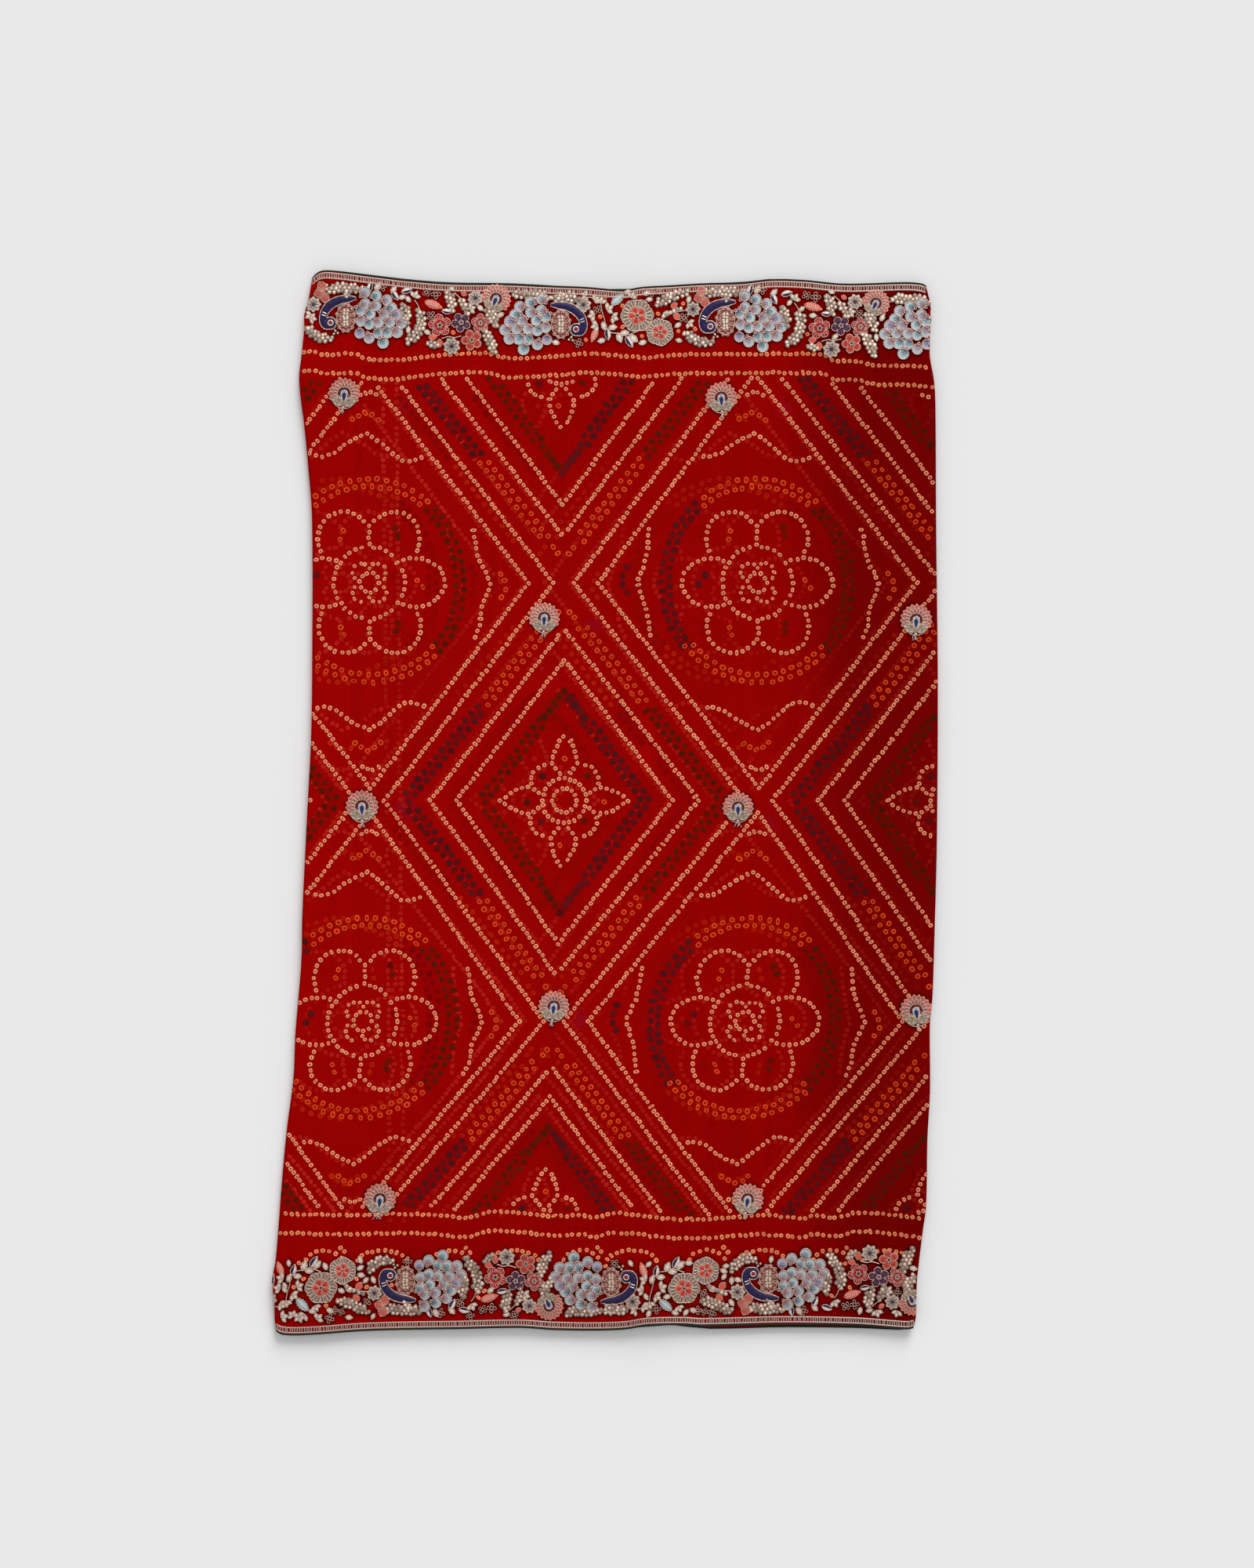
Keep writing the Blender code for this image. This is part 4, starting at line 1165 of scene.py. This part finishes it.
def carnation(radius):
    """A round flower: a deep lobed frill of metal thread loops round a heart of coral satin."""
    work, frill = Needlework(), Needlework()
    shape = petal(radius * 0.56, radius * 0.24, 1.7, 6)
    frill.cord(shape, 0.32, (0.84, 0.74, 0.63), 0.4, closed=True)
    angle = np.linspace(0, 2 * math.pi, 73)[:-1]
    lobed = radius * (0.95 + 0.05 * np.cos(angle * 6 + 0.5))
    rim = np.column_stack([lobed * np.cos(angle), lobed * np.sin(angle)])
    deep, lit = (0.10, 0.03, 0.02), (0.32, 0.25, 0.19)
    work.satin(rim, (0, 0), "silver_thread", deep, lit, height=0.08, crown=0.3, streak=0.8)
    work.sew(fanned(frill, 22, radius * 0.42))
    work.cord(rim[::2] * 1.02, 0.45, (0.64, 0.48, 0.41), 0.4, closed=True)
    edge = (0.60, 0.34, 0.28)
    heart = looped_petal(radius * 0.5, radius * 0.42, CORAL, "coral_thread", edge, 1.2, RED, 0.25)
    heart.cord([(1, 0), (radius * 0.3, 0)], 0.3, (0.35, 0.01, 0.012), 0.75, thread="red_thread", twist_shade=0)
    work.sew(fanned(heart, 5, radius * 0.08, 30, 390), lift=0.3)
    work.cord(circle(0, 0, radius * 0.12, 6), 0.45, HEART_SILVER, 1.2, closed=True)
    work.bead(0, 0, 0.9, (WINE,) * 5, thread="purple_thread", height=1.1)
    return work


def bud():
    """A bud of silver petals round a navy knot."""
    pale, edge, deep = (0.86, 0.82, 0.75), (0.50, 0.40, 0.30), (0.12, 0.11, 0.14)
    one = looped_petal(6.2, 4.3, pale, "silver_thread", edge, 1.15, deep, 0.3)
    one.cord([(0.2, 0), (3.0, 0)], 0.3, (0.02, 0.015, 0.05), 0.8, thread="navy_satin", twist_shade=0)
    work = fanned(one, 8, 1.2)
    work.bead(0, 0, 1.3, (*(NAVY,) * 4, (0.1, 0.1, 0.2)), thread="navy_satin", height=0.6)
    return work


def two_tone_leaf():
    """A pointed leaf, navy on one side of its rib and white on the other."""
    work = Needlework()
    shape = petal(11, 5.4, 0.9, 8)
    half = len(shape) // 2 + 1
    work.satin(shape[:half], (5.5, 0.7), "silver_thread", WHITE, WHITE, crown=0.5, streak=0.2)
    work.satin(np.vstack([shape[half - 1 :], shape[:1]]), (5.5, -0.7), "navy_satin", NAVY, NAVY, crown=0.5)
    work.cord(shape, 0.42, SILVER, 0.35, closed=True)
    return work


def coral_leaf():
    """A long coral leaf with pale stitches across its middle and a feathered edge."""
    work = Needlework()
    shape = petal(18, 8.6, 0.85, 12)
    shape[1::2] *= [1, 0.82]
    work.satin(shape, (8.5, 0), "coral_thread", CORAL, (0.72, 0.2, 0.14), crown=0.5, streak=0.25)
    for x in np.arange(2.6, 13, 1.9):
        work.cord([(x, 1.9), (x + 1.1, 0), (x, -1.9)], 0.4, SILVER_BRIGHT, 0.75, twist_shade=0.1)
    return work


def blue_leaf():
    """A broad pale blue leaf with a toothed edge."""
    work = Needlework()
    shape = petal(17, 9.5, 0.95, 13)
    shape[1::2] *= [1, 0.72]
    work.satin(shape, (8, 0), "blue_thread", BLUE_PALE, BLUE, crown=0.5, streak=0.2)
    work.cord(shape, 0.4, SILVER, 0.35, closed=True)
    work.cord([(1, 0), (15.5, 0)], 0.4, SILVER_BRIGHT, 0.8, twist_shade=0)
    return work


def silver_leaf():
    """A leaf of metal thread loops, bright in the middle."""
    pale, edge, bright = (0.62, 0.55, 0.43), (0.52, 0.40, 0.32), (0.95, 0.92, 0.86)
    return looped_petal(8.6, 5.0, pale, "silver_thread", edge, 1.0, bright, 0.45)


SILVER_LEAF = silver_leaf()


def trefoil():
    """Three short silver leaves from one root."""
    work = Needlework()
    for turn in (-62, 0, 62):
        work.sew(SILVER_LEAF, 0, 0, turn, 0.82)
    work.bead(0, 0, 1.3, height=0.5)
    return work


def coral_bud():
    """Three coral petals from a stem of beads."""
    work = Needlework()
    one = looped_petal(11, 8.8, (0.60, 0.13, 0.10), "coral_thread", CORAL_EDGE, 1.15, (0.42, 0.03, 0.03), 0.2)
    for angle in (-26, -9, 9, 26):
        a = math.radians(angle)
        vein = [(1.2, 0.2 * angle / 26), (8.2 * math.cos(a), 7.2 * math.sin(a))]
        one.cord(vein, 0.32, (0.74, 0.36, 0.28), 0.7, twist_shade=0)
    for turn in (100, 175, 248):
        work.sew(one, 0, 0, turn)
    for x, y in ((2.5, 1.5), (4.2, -2.4), (3.8, 5), (6, 1)):
        work.bead(x, y, 1.9)
    return work


def fan_flower(cup=1.0):
    """A fan of looped pink petals over a silver cup, round a blue drop with a navy heart."""
    work = Needlework()
    outer = looped_petal(5.6, 3.7, PINK, "pink_thread", (0.62, 0.38, 0.32), 1.25, (0.40, 0.07, 0.05), 0.3)
    inner = looped_petal(5.4, 2.6, (0.34, 0.10, 0.08), "pink_thread", (0.58, 0.46, 0.40), 1.1)
    deep, lit = (0.16, 0.02, 0.015), (0.24, 0.012, 0.010)
    work.satin(circle(0, 0.5, 11.2, 18), (0, 0), "pink_thread", deep, lit, height=0.02, crown=0.25)
    work.sew(fanned(outer, 13, 9.0, -22, 202.1), 0, 0.8)
    work.sew(fanned(inner, 12, 5.6, -18, 198.1), 0, 0.6, lift=0.35)
    wines = (WINE, WINE, WINE, WINE, (0.05, 0.005, 0.005))
    for angle in np.linspace(0, 180, 7):
        x, y = polar(5.0, math.radians(angle))
        work.bead(x, 1.2 + y, 0.95, wines, thread="red_thread", height=0.9, sides=6)
    pale, edge, deep = (0.62, 0.56, 0.44), (0.46, 0.36, 0.30), (0.12, 0.09, 0.04)
    cup_leaf = looped_petal(11.2, 5.6, pale, "silver_thread", edge, 0.9, deep, 0.5)
    for side in (1, -1):
        for turn, size in ((24, 1.0), (46, 0.92)):
            work.sew(cup_leaf, 0, -9.6, turn, size * cup, mirror=side, lift=0.3 + 0.1 * (turn > 30))
    half = [(2.0, -4), (3.1, 0), (2.5, 3.0)]
    drop = np.array([(0, -7.6), *half, (0, 4.4), *((-x, y) for x, y in half[::-1])])
    work.satin(drop, (0, 0), "blue_thread", BLUE, (0.42, 0.54, 0.62), height=0.8, crown=0.4)
    inside = drop * [0.6, 0.72] + [0, -0.9]
    work.satin(inside, (0, -0.5), "navy_satin", NAVY, (0.03, 0.03, 0.13), height=1.25, crown=0.2)
    work.cord(drop, 0.42, SILVER_BRIGHT, 1.1, closed=True)
    return work


# The beads of a spray: from one to the next along it and across it, radius, how far each strays
SPRAY_PITCH = 4.1
SPRAY_APART = 3.4
DROP_RADIUS = 2.7
DROP_STRAY = 0.3


def tied_spray(path, columns):
    """A close spray of drop-shaped beads like an ear of wheat, those at its sides leaning out."""
    work = Needlework()
    spots = evenly(path, SPRAY_PITCH)
    for k, (x, y, way) in enumerate(spots):
        at_end = k in (0, len(spots) - 1)
        for c in range(columns):
            side = c - (columns - 1) / 2
            if columns > 2 and at_end and side > 0:
                continue
            off = side * SPRAY_APART * (0.75 if at_end else 1)
            shift = (c % 2) * SPRAY_PITCH / 2
            bx = x + shift * math.cos(way) - off * math.sin(way) + hand.normal(0, DROP_STRAY)
            by = y + shift * math.sin(way) + off * math.cos(way) + hand.normal(0, DROP_STRAY)
            lean = way + 0.75 * side + hand.normal(0, 0.2)
            # Each bead's groove, body and painted highlight are brightened or dimmed together, and its rim
            # and wire vary at random
            gleam = hand.choice([0.45, 0.8, 1.15], p=[0.3, 0.3, 0.4]) * hand.uniform(0.9, 1.1)
            tints = []
            for ring, tint in enumerate(BEAD_TINTS_SHADE_AND_HIGHLIGHT):
                tints.append(np.array(tint) * (gleam if ring > 1 else hand.uniform(0.8, 1.15)))
            work.bead(bx, by, DROP_RADIUS * hand.uniform(0.85, 1.1), tints, 1.3, lean, 0.1 + 0.35 * (c % 2))
    return work


def ring_cluster():
    """Small open rings of metal thread, five together."""
    work = Needlework()
    for x, y in [(0, 0)] + [polar(3.3, 2 * math.pi * k / 4) for k in (1, 2, 3, 4)]:
        work.cord(circle(x, y, 1.7, 7), 0.42, (0.56, 0.36, 0.30), 0.4, closed=True)
    return work


FORMS = {
    "red flower": small_flower((0.46, 0.010, 0.010), "red_thread", 10.6, (0.82, 0.66, 0.60)),
    "purple flower": small_flower(PURPLE, "purple_thread", 9.6, (0.24, 0.14, 0.20)),
    "rose flower": small_flower((0.42, 0.025, 0.025), "red_thread", 9.2, (0.78, 0.60, 0.55)),
    "coral flower": small_flower(CORAL, "coral_thread", 9.8, RED),
    "carnation": carnation(15.4),
    "small carnation": carnation(13.2),
    "bud": bud(),
    "two-tone leaf": two_tone_leaf(),
    "coral leaf": coral_leaf(),
    "blue leaf": blue_leaf(),
    "silver leaf": SILVER_LEAF,
    "trefoil": trefoil(),
    "coral bud": coral_bud(),
    "coral petal": looped_petal(8.5, 6.0, CORAL, "coral_thread", CORAL_EDGE, 1.0),
    "fan flower": fan_flower(),
    "rings": ring_cluster(),
}

# One repeat of the border, measured from the body of the peacock that faces left: form, across, outwards,
# turn in degrees, size
REPEAT = [
    ("coral bud", -19.5, 24.5, 20, 1.0), ("bud", -30.5, 12, 0, 1.0),
    ("two-tone leaf", 22.5, 25, 78, 0.95), ("silver leaf", 28.5, 26.5, 60, 1.1),
    ("two-tone leaf", 44.5, 27, -62, 1.0), ("two-tone leaf", 53.5, 26, 20, 1.0),
    ("silver leaf", 43.5, 25, 44, 1.0), ("rings", 35.5, 30.5, 10, 0.9), ("trefoil", 66, 22, 60, 0.9),
    ("coral leaf", 75.5, 18, -16, 1.0), ("red flower", 90.3, -4.6, 8, 1.0),
    ("purple flower", 110.6, -1.2, 30, 1.0), ("rose flower", 129.2, -1.2, 0, 1.0),
    ("coral flower", 120.8, -17.6, 20, 1.0), ("coral petal", 79.5, -16.5, 8, 0.9),
    ("coral petal", 89.5, -17.5, -84, 0.95), ("bud", 101.6, -24.0, 30, 1.1),
    ("bud", 124.2, 22.6, 60, 1.0), ("two-tone leaf", 92, 9.5, -8, 0.9), ("rings", 77.5, 26.5, 30, 0.85),
    ("rings", 86.5, 25, 0, 0.95), ("fan flower", 143.6, 21.5, -24, 0.95), ("trefoil", 119, 12, 20, 0.85),
    ("coral petal", 116, 25, 150, 0.7), ("bud", 227.3, 18.5, 10, 1.0), ("trefoil", 230, 27, 150, 0.8),
    ("trefoil", 237.5, 23, 30, 0.85), ("trefoil", 244, 20, 80, 0.85), ("trefoil", 237.5, 8, 190, 0.9),
    ("trefoil", 250, 13.5, 30, 0.9), ("trefoil", 240.5, -1.5, 200, 0.9), ("trefoil", 255, 6, -20, 0.95),
    ("silver leaf", 245.5, 2, -70, 1.0), ("coral leaf", 240.5, -4, -112, 0.85),
    ("two-tone leaf", 250, -4.5, -78, 1.0), ("silver leaf", 251, -4, 2, 1.0),
    ("silver leaf", 260, -9, -70, 1.2), ("silver leaf", 262, -10, 8, 1.1),
    ("two-tone leaf", 268, -12.5, -62, 1.1), ("silver leaf", 271, -11.5, -38, 1.2),
    ("blue leaf", 254, 17.5, 42, 0.95), ("carnation", 278.7, 7, 0, 1.0),
    ("small carnation", 300.3, -9.2, 40, 1.0), ("rings", 292.5, 28.5, 0, 0.8),
    ("rings", 299, 30, 20, 0.7), ("silver leaf", 303, 8, 12, 0.9), ("coral petal", 314, 9, -52, 1.0),
    ("coral petal", 311, 14, 40, 0.9), ("silver leaf", 266, 29, 10, 0.9),
    ("silver leaf", 284, 27, 20, 0.9), ("trefoil", 273, 24.5, 60, 0.8),
    ("silver leaf", 105, 30, 170, 0.8), ("trefoil", 206, 26.5, 100, 0.8), ("rings", 217, 24, 0, 0.8),
]
# Sprays of beads in the repeat: columns, then a path from the same place
SPRAYS = [
    (3, [(-37, -10), (-30, -16.5), (-22, -20), (-14, -19.5)]),
    (3, [(-15, 27), (-4, 29), (8, 28), (14, 29)]), (2, [(5, 27), (1, 21)]),
    (3, [(56.5, 14), (57.5, 6), (60, -2)]), (3, [(71, 9), (73.5, 0), (70, -11), (61, -21)]),
    (3, [(99, 27), (101, 19), (103, 11)]), (2, [(111, 20), (114, 14), (116, 9)]),
    (3, [(134, -8), (138, -17), (143, -27)]), (2, [(80, -21), (86, -24)]),
    (3, [(136, 12), (141, 5), (144, -2)]), (3, [(161, 29), (172, 27), (183, 28), (194, 26)]),
    (3, [(199, 27), (205, 24), (213, 27), (221, 25)]), (3, [(297, 18), (306, 22), (316, 26), (325, 29)]),
    (1, [(304, 6), (313, 11), (321, 13)]),
]
# Stems of cord in the repeat
STEMS = [
    [(66, 19), (69, 15), (71.5, 9)],
    [(243.5, 21), (245, 12), (247.5, 4), (249, -5), (254, -9), (262, -10), (271, -11), (279, -8)],
    [(301, 2), (308, 7), (316, 10), (326, 11)], [(104, 27), (110, 22), (116, 16), (121, 20)],
    [(92, -17), (98, -15), (104, -16), (111, -14)], [(-19, 27), (-12, 30), (-2, 31)],
    [(226, 25), (234, 25.5), (243, 21)],
]
REPEAT_LENGTH = 362.5
BIRD_APART = 206.3
# The line through the birds' bodies along each border: x, y
TOP_BIRDS = [
    (-316, 463), (-248, 461.5), (-150, 458.5), (-41, 455.2), (20, 456), (114, 458), (200, 456),
    (283, 451.5), (316, 451),
]
BOTTOM_BIRDS = [
    (-316, -457), (-191, -457.5), (-90, -459), (6.5, -459), (80, -457.5), (152, -456), (296, -455),
]
# Each border's first bird, how close together its repeat is, which way is outwards, its left and right ends
TOP_BORDER = (-248.0, 1.0, 1, -300, 345)
BOTTOM_BORDER = (-191.0, 0.956, -1, -345, 330)
# How many places are tried for dots between the motifs
BARE_TRIES = 1300
bird = peacock()
# Small forms for bare places: form, how near other stitches may lie, from its root to its middle
FILLERS = [("trefoil", 5.0, 2.5), ("silver leaf", 3.7, 3.8), ("rings", 3.3, 0), ("silver leaf", 3.0, 3.8)]
# How far apart they are tried along and across a border, the side of a cell in which stitches are looked up,
# and how far they keep from the cloth's edge
TRY_ALONG = 5.6
TRY_OUT = 4.3
CELL = 6
CLEAR_OF_EDGE = 12


def birds_line(x, up):
    """How far up the cloth the line of birds runs at some place across it."""
    return float(reading(TOP_BIRDS if up > 0 else BOTTOM_BIRDS, x))


def fill_gaps(work, left, right, up):
    """Small leaves and rings wherever the larger forms leave bare cloth."""
    for kind, reach, back in FILLERS:
        spots, near = work.places(), {}
        for k, (x, y) in enumerate(spots):
            near.setdefault((int(x // CELL), int(y // CELL)), []).append(k)
        for across in np.arange(left, right, TRY_ALONG):
            for out in np.arange(-17, 38, TRY_OUT):
                shift = hand.normal(0, 1.0, 2)
                x = across + shift[0]
                y = birds_line(x, up) + up * (out + shift[1])
                start, end = fold_limits(x, y)
                from_edge = min(reading(TOP_EDGE, x) - y, y - reading(BOTTOM_EDGE, x))
                if not start < x < end or from_edge < CLEAR_OF_EDGE or (out < -12 and hand.random() < 0.5):
                    continue
                cell = (int(x // CELL), int(y // CELL))
                close = near_cell(near, cell)
                if close and np.hypot(*(spots[close] - (x, y)).T).min() < reach:
                    continue
                turn = hand.uniform(0, 360)
                root = polar(back, math.radians(turn))
                work.sew(FORMS[kind], x - root[0], y - root[1], turn, hand.uniform(0.8, 0.95))
                near.setdefault(cell, []).append(len(spots))
                spots = np.vstack([spots, [[x, y]]])


def border(upper):
    """All needlework of one border, in mm across and up the cloth."""
    work = Needlework()
    first, scale, up, left, right = TOP_BORDER if upper else BOTTOM_BORDER

    def at(across, out):
        x = first + scale * across
        return x, birds_line(x, up) + up * out

    for k in (-1, 0, 1):
        shift = k * REPEAT_LENGTH
        for path in STEMS:
            if left < first + scale * (path[0][0] + shift) < right:
                work.cord([at(a + shift, o) for a, o in evenly(path, 1.6)[:, :2]], 0.5, SILVER, 0.35)
        for columns, path in SPRAYS:
            if left < first + scale * (path[0][0] + shift) < right:
                work.sew(tied_spray([at(a + shift, o) for a, o in path], columns))
        for name, across, out, turn, size in REPEAT:
            x, y = at(across + shift, out)
            if left < x < right:
                work.sew(FORMS[name], x, y, turn + hand.normal(0, 3), size * hand.uniform(0.96, 1.04), up=up)
        for across, mirror in ((0, 1), (BIRD_APART, -1)):
            x, y = at(across + shift, 0)
            if left - 20 < x < right + 20:
                work.sew(bird, x, y, mirror=mirror, up=up)
    fill_gaps(work, left, right, up)
    return work


def bare_spots(work, up):
    """Places in the border with bare cloth between the motifs, where tied dots peek out."""
    spots, found = work.places(), []
    for x, out in zip(hand.uniform(-310, 310, BARE_TRIES), hand.uniform(-17, 27, BARE_TRIES)):
        y = birds_line(x, up) + up * out
        near = spots[(abs(spots[:, 0] - x) < 3) & (abs(spots[:, 1] - y) < 3)]
        if len(near) and np.hypot(*(near - (x, y)).T).min() < 2.3:
            continue
        if all(math.hypot(x - a, y - b) > 6 for a, b, _, _ in found):
            found.append((x, y, 0.6, 0.95))
    return np.array(found)


silk = tinted_material("silk_thread", Roughness=0.5, Specular_IOR_Level=0.25)
# How far round a fold stitches are still shown
FOLD_REACH = 3.2


def sewn_pieces(label, work, tarnish_and_shade):
    """One shown piece for each thread of some work, left off where it would run far round a fold."""
    pieces = {}
    for thread in work.threads:
        points, faces, tints = work.joined(thread)
        start, end = fold_limits(points[:, 0], points[:, 1])
        seen = (points[:, 0] > start - FOLD_REACH) & (points[:, 0] < end + FOLD_REACH * 0.6)
        faces = faces[seen[faces].all(axis=1)]
        if len(faces) == 0:
            continue
        used, faces = np.unique(faces, return_inverse=True)
        faces = faces.reshape(-1, 3)
        spots = on_top(points[used, 0], points[used, 1], points[used, 2])
        look = metal if thread == "silver_thread" else silk
        piece = mesh_piece(f"{label}_{thread}", spots, faces, look, (tints[used] * tarnish_and_shade).clip(0, 1))
        pieces[thread] = piece
    return pieces


# The side of a square of the cloth painted with shade round the stitches, and how far beyond them it reaches
SHADE_STEP = 2.0
SHADE_PAST = 8


def shade_round_work(label, work, shade_depth):
    """The cloth under and round some work, darkened with painted shade where its stitches lie thick."""
    spots, step = work.places(), SHADE_STEP
    across, up = (np.arange(v.min() - SHADE_PAST, v.max() + SHADE_PAST, step) for v in spots.T)
    sides = [np.append(v, v[-1] + step) - step / 2 for v in (across, up)]
    share = np.pad(np.minimum(np.histogram2d(spots[:, 0], spots[:, 1], sides)[0], 1.0), 1)
    inner = share[1:-1, 1:-1]
    for _ in range(2):
        inner[:] = (4 * inner + share[:-2, 1:-1] + share[2:, 1:-1] + share[1:-1, :-2] + share[1:-1, 2:]) / 8
    share = inner.ravel()
    x, y = (v.ravel() for v in np.meshgrid(across, up, indexing="ij"))
    i = np.arange(len(x)).reshape(len(across), len(up))
    faces = np.stack([i[:-1, :-1], i[1:, :-1], i[1:, 1:], i[:-1, 1:]], axis=-1).reshape(-1, 4)
    start, end = fold_limits(x, y)
    inside = (x > start - 3) & (x < end + 1)
    inside &= (y < reading(TOP_EDGE, x) - EDGING_CORDS[1]) & (y > reading(BOTTOM_EDGE, x) + EDGING_CORDS[1])
    faces = faces[inside[faces].all(axis=1) & (share[faces].max(axis=1) > 0.02)]
    used, faces = np.unique(faces, return_inverse=True)
    tints = ground_at(x[used], y[used]) * (1 - shade_depth * share[used])[:, None]
    spots = on_top(x[used], y[used], 0.07)
    piece = mesh_piece(f"{label}_painted_shade_cloth", spots, faces.reshape(-1, 4), tinted, tints)


# The solids that each border's threads take the place of, by thread: motif and its numbers
MOTIF_NODES = {
    "top": [
        ("blue_thread", "peacock_tail", (1, 2, 3, 7)), ("navy_satin", "peacock_neck", (1, 2, 3)),
        ("silver_thread", "peacock_body", (1, 2, 3)), ("silver_thread", "carnation", (1, 2)),
        ("red_thread", "red_flower", (1, 2)), ("purple_thread", "purple_flower", (1, 2)),
        ("coral_thread", "coral_flower", (1, 2)), ("pink_thread", "fan_flower", (1, 2)),
    ],
    "bottom": [
        ("blue_thread", "peacock_tail", (4, 5, 6)), ("navy_satin", "peacock_neck", (4, 5, 6)),
        ("silver_thread", "peacock_body", (4, 5, 6)), ("silver_thread", "carnation", (3, 4, 5, 6)),
        ("red_thread", "red_flower", (3, 4)), ("purple_thread", "purple_flower", (3, 4)),
        ("coral_thread", "coral_flower", (3, 4)), ("pink_thread", "fan_flower", (3, 4)),
    ],
}
# How tarnish has toned the threads of each border warmer, in red, green and blue, and the bottom one darkened
# further as painted shade where the light falls off towards the cloth's foot
TARNISH_AND_SHADE = {"top": (1.06, 0.93, 0.89), "bottom": (0.86, 0.71, 0.67)}
# The last number of each is how deep the painted shade round its needlework goes
for where, up, shade_depth in (("top", 1, 0.78), ("bottom", -1, 0.86)):
    work = border(up > 0)
    shade_round_work(f"{where}_border", work, shade_depth)
    peeking = within_folds(bare_spots(work, up), 0, 0)
    dye_piece(f"{where}_border_dots", peeking, DOT_KINDS["amber"], SQUARENESS)
    pieces = sewn_pieces(f"{where}_border", work, TARNISH_AND_SHADE[where])
    for thread, piece in pieces.items():
        mine = [(name, numbers) for kind, name, numbers in MOTIF_NODES[where] if kind == thread]
        nodes = [f"{name}_{k}" for name, numbers in mine for k in numbers]
        if nodes:
            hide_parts(*nodes)

# The buttis: fan-shaped motifs like the flowers of the borders, sewn where the dotted lines cross, each
# with a short tuft of loose thread at its foot. Their middles: x, y
BUTTIS = [
    (-249, 388), (111, 384), (-58, 174), (297, 172), (-232, -6), (127, -7), (-49, -197), (297, -201),
    (-215, -381), (136, -381),
]


def butti():
    """One butti about its middle, with its tuft."""
    work = fan_flower(1.12)
    for _ in range(5):
        x, bend = hand.normal(0, 1.0), hand.normal(0, 1.6)
        end = (x + bend, -16.5 - hand.uniform(0, 1.5))
        work.cord([(0.2 * x, -11.5), (x, -14), end], 0.32, (0.62, 0.52, 0.50), 0.3)
    work.cord(circle(0, -1.8, 11.2, 12, 215, 325), 0.45, (0.6, 0.42, 0.36), 0.4)
    work.bead(0, -11.6, 1.5, height=0.4)
    return work


motifs = Needlework()
for x, y in BUTTIS:
    motifs.sew(butti(), x, y, hand.normal(0, 6), hand.uniform(1.0, 1.08))
shade_round_work("butti", motifs, 0.74)
pieces = sewn_pieces("butti", motifs, (0.97, 0.85, 0.82))
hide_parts(*(f"butti_{k:02d}" for k in range(1, 11)))

# The stage: a plain pale floor, and soft studio light from beyond the cloth's top edge.
bpy.ops.mesh.primitive_plane_add(size=12, location=(0, 0, -0.0002))
floor = bpy.context.object
floor.name = "pale_floor"
pale, *_ = plain_nodes("pale_floor", Base_Color=(0.83, 0.83, 0.83, 1), Roughness=0.95, Specular_IOR_Level=0.0)
floor.data.materials.append(pale)

world = bpy.data.worlds.new("studio")
bpy.context.scene.world = world
world.use_nodes = True
sky = world.node_tree.nodes["Background"]
sky.inputs["Color"].default_value = (1, 1, 1, 1)
sky.inputs["Strength"].default_value = 0.60
key = bpy.data.lights.new("key", "SUN")
key.energy = 2.75
key.angle = math.radians(34)
lamp = bpy.data.objects.new("key", key)
# It shines from beyond the top edge and a little from the right, 26 degrees above the floor.
lamp.rotation_euler = (math.radians(-64), 0, math.radians(-16))
bpy.context.scene.collection.objects.link(lamp)

lens = bpy.data.cameras.new("camera")
lens.sensor_fit = "VERTICAL"
lens.sensor_height = 36
lens.lens = 72
camera = bpy.data.objects.new("camera", lens)
camera.location = (0.0208, 0.0181, 3.0)
bpy.context.scene.collection.objects.link(camera)
bpy.context.scene.camera = camera
bpy.context.scene.view_settings.view_transform = "Standard"
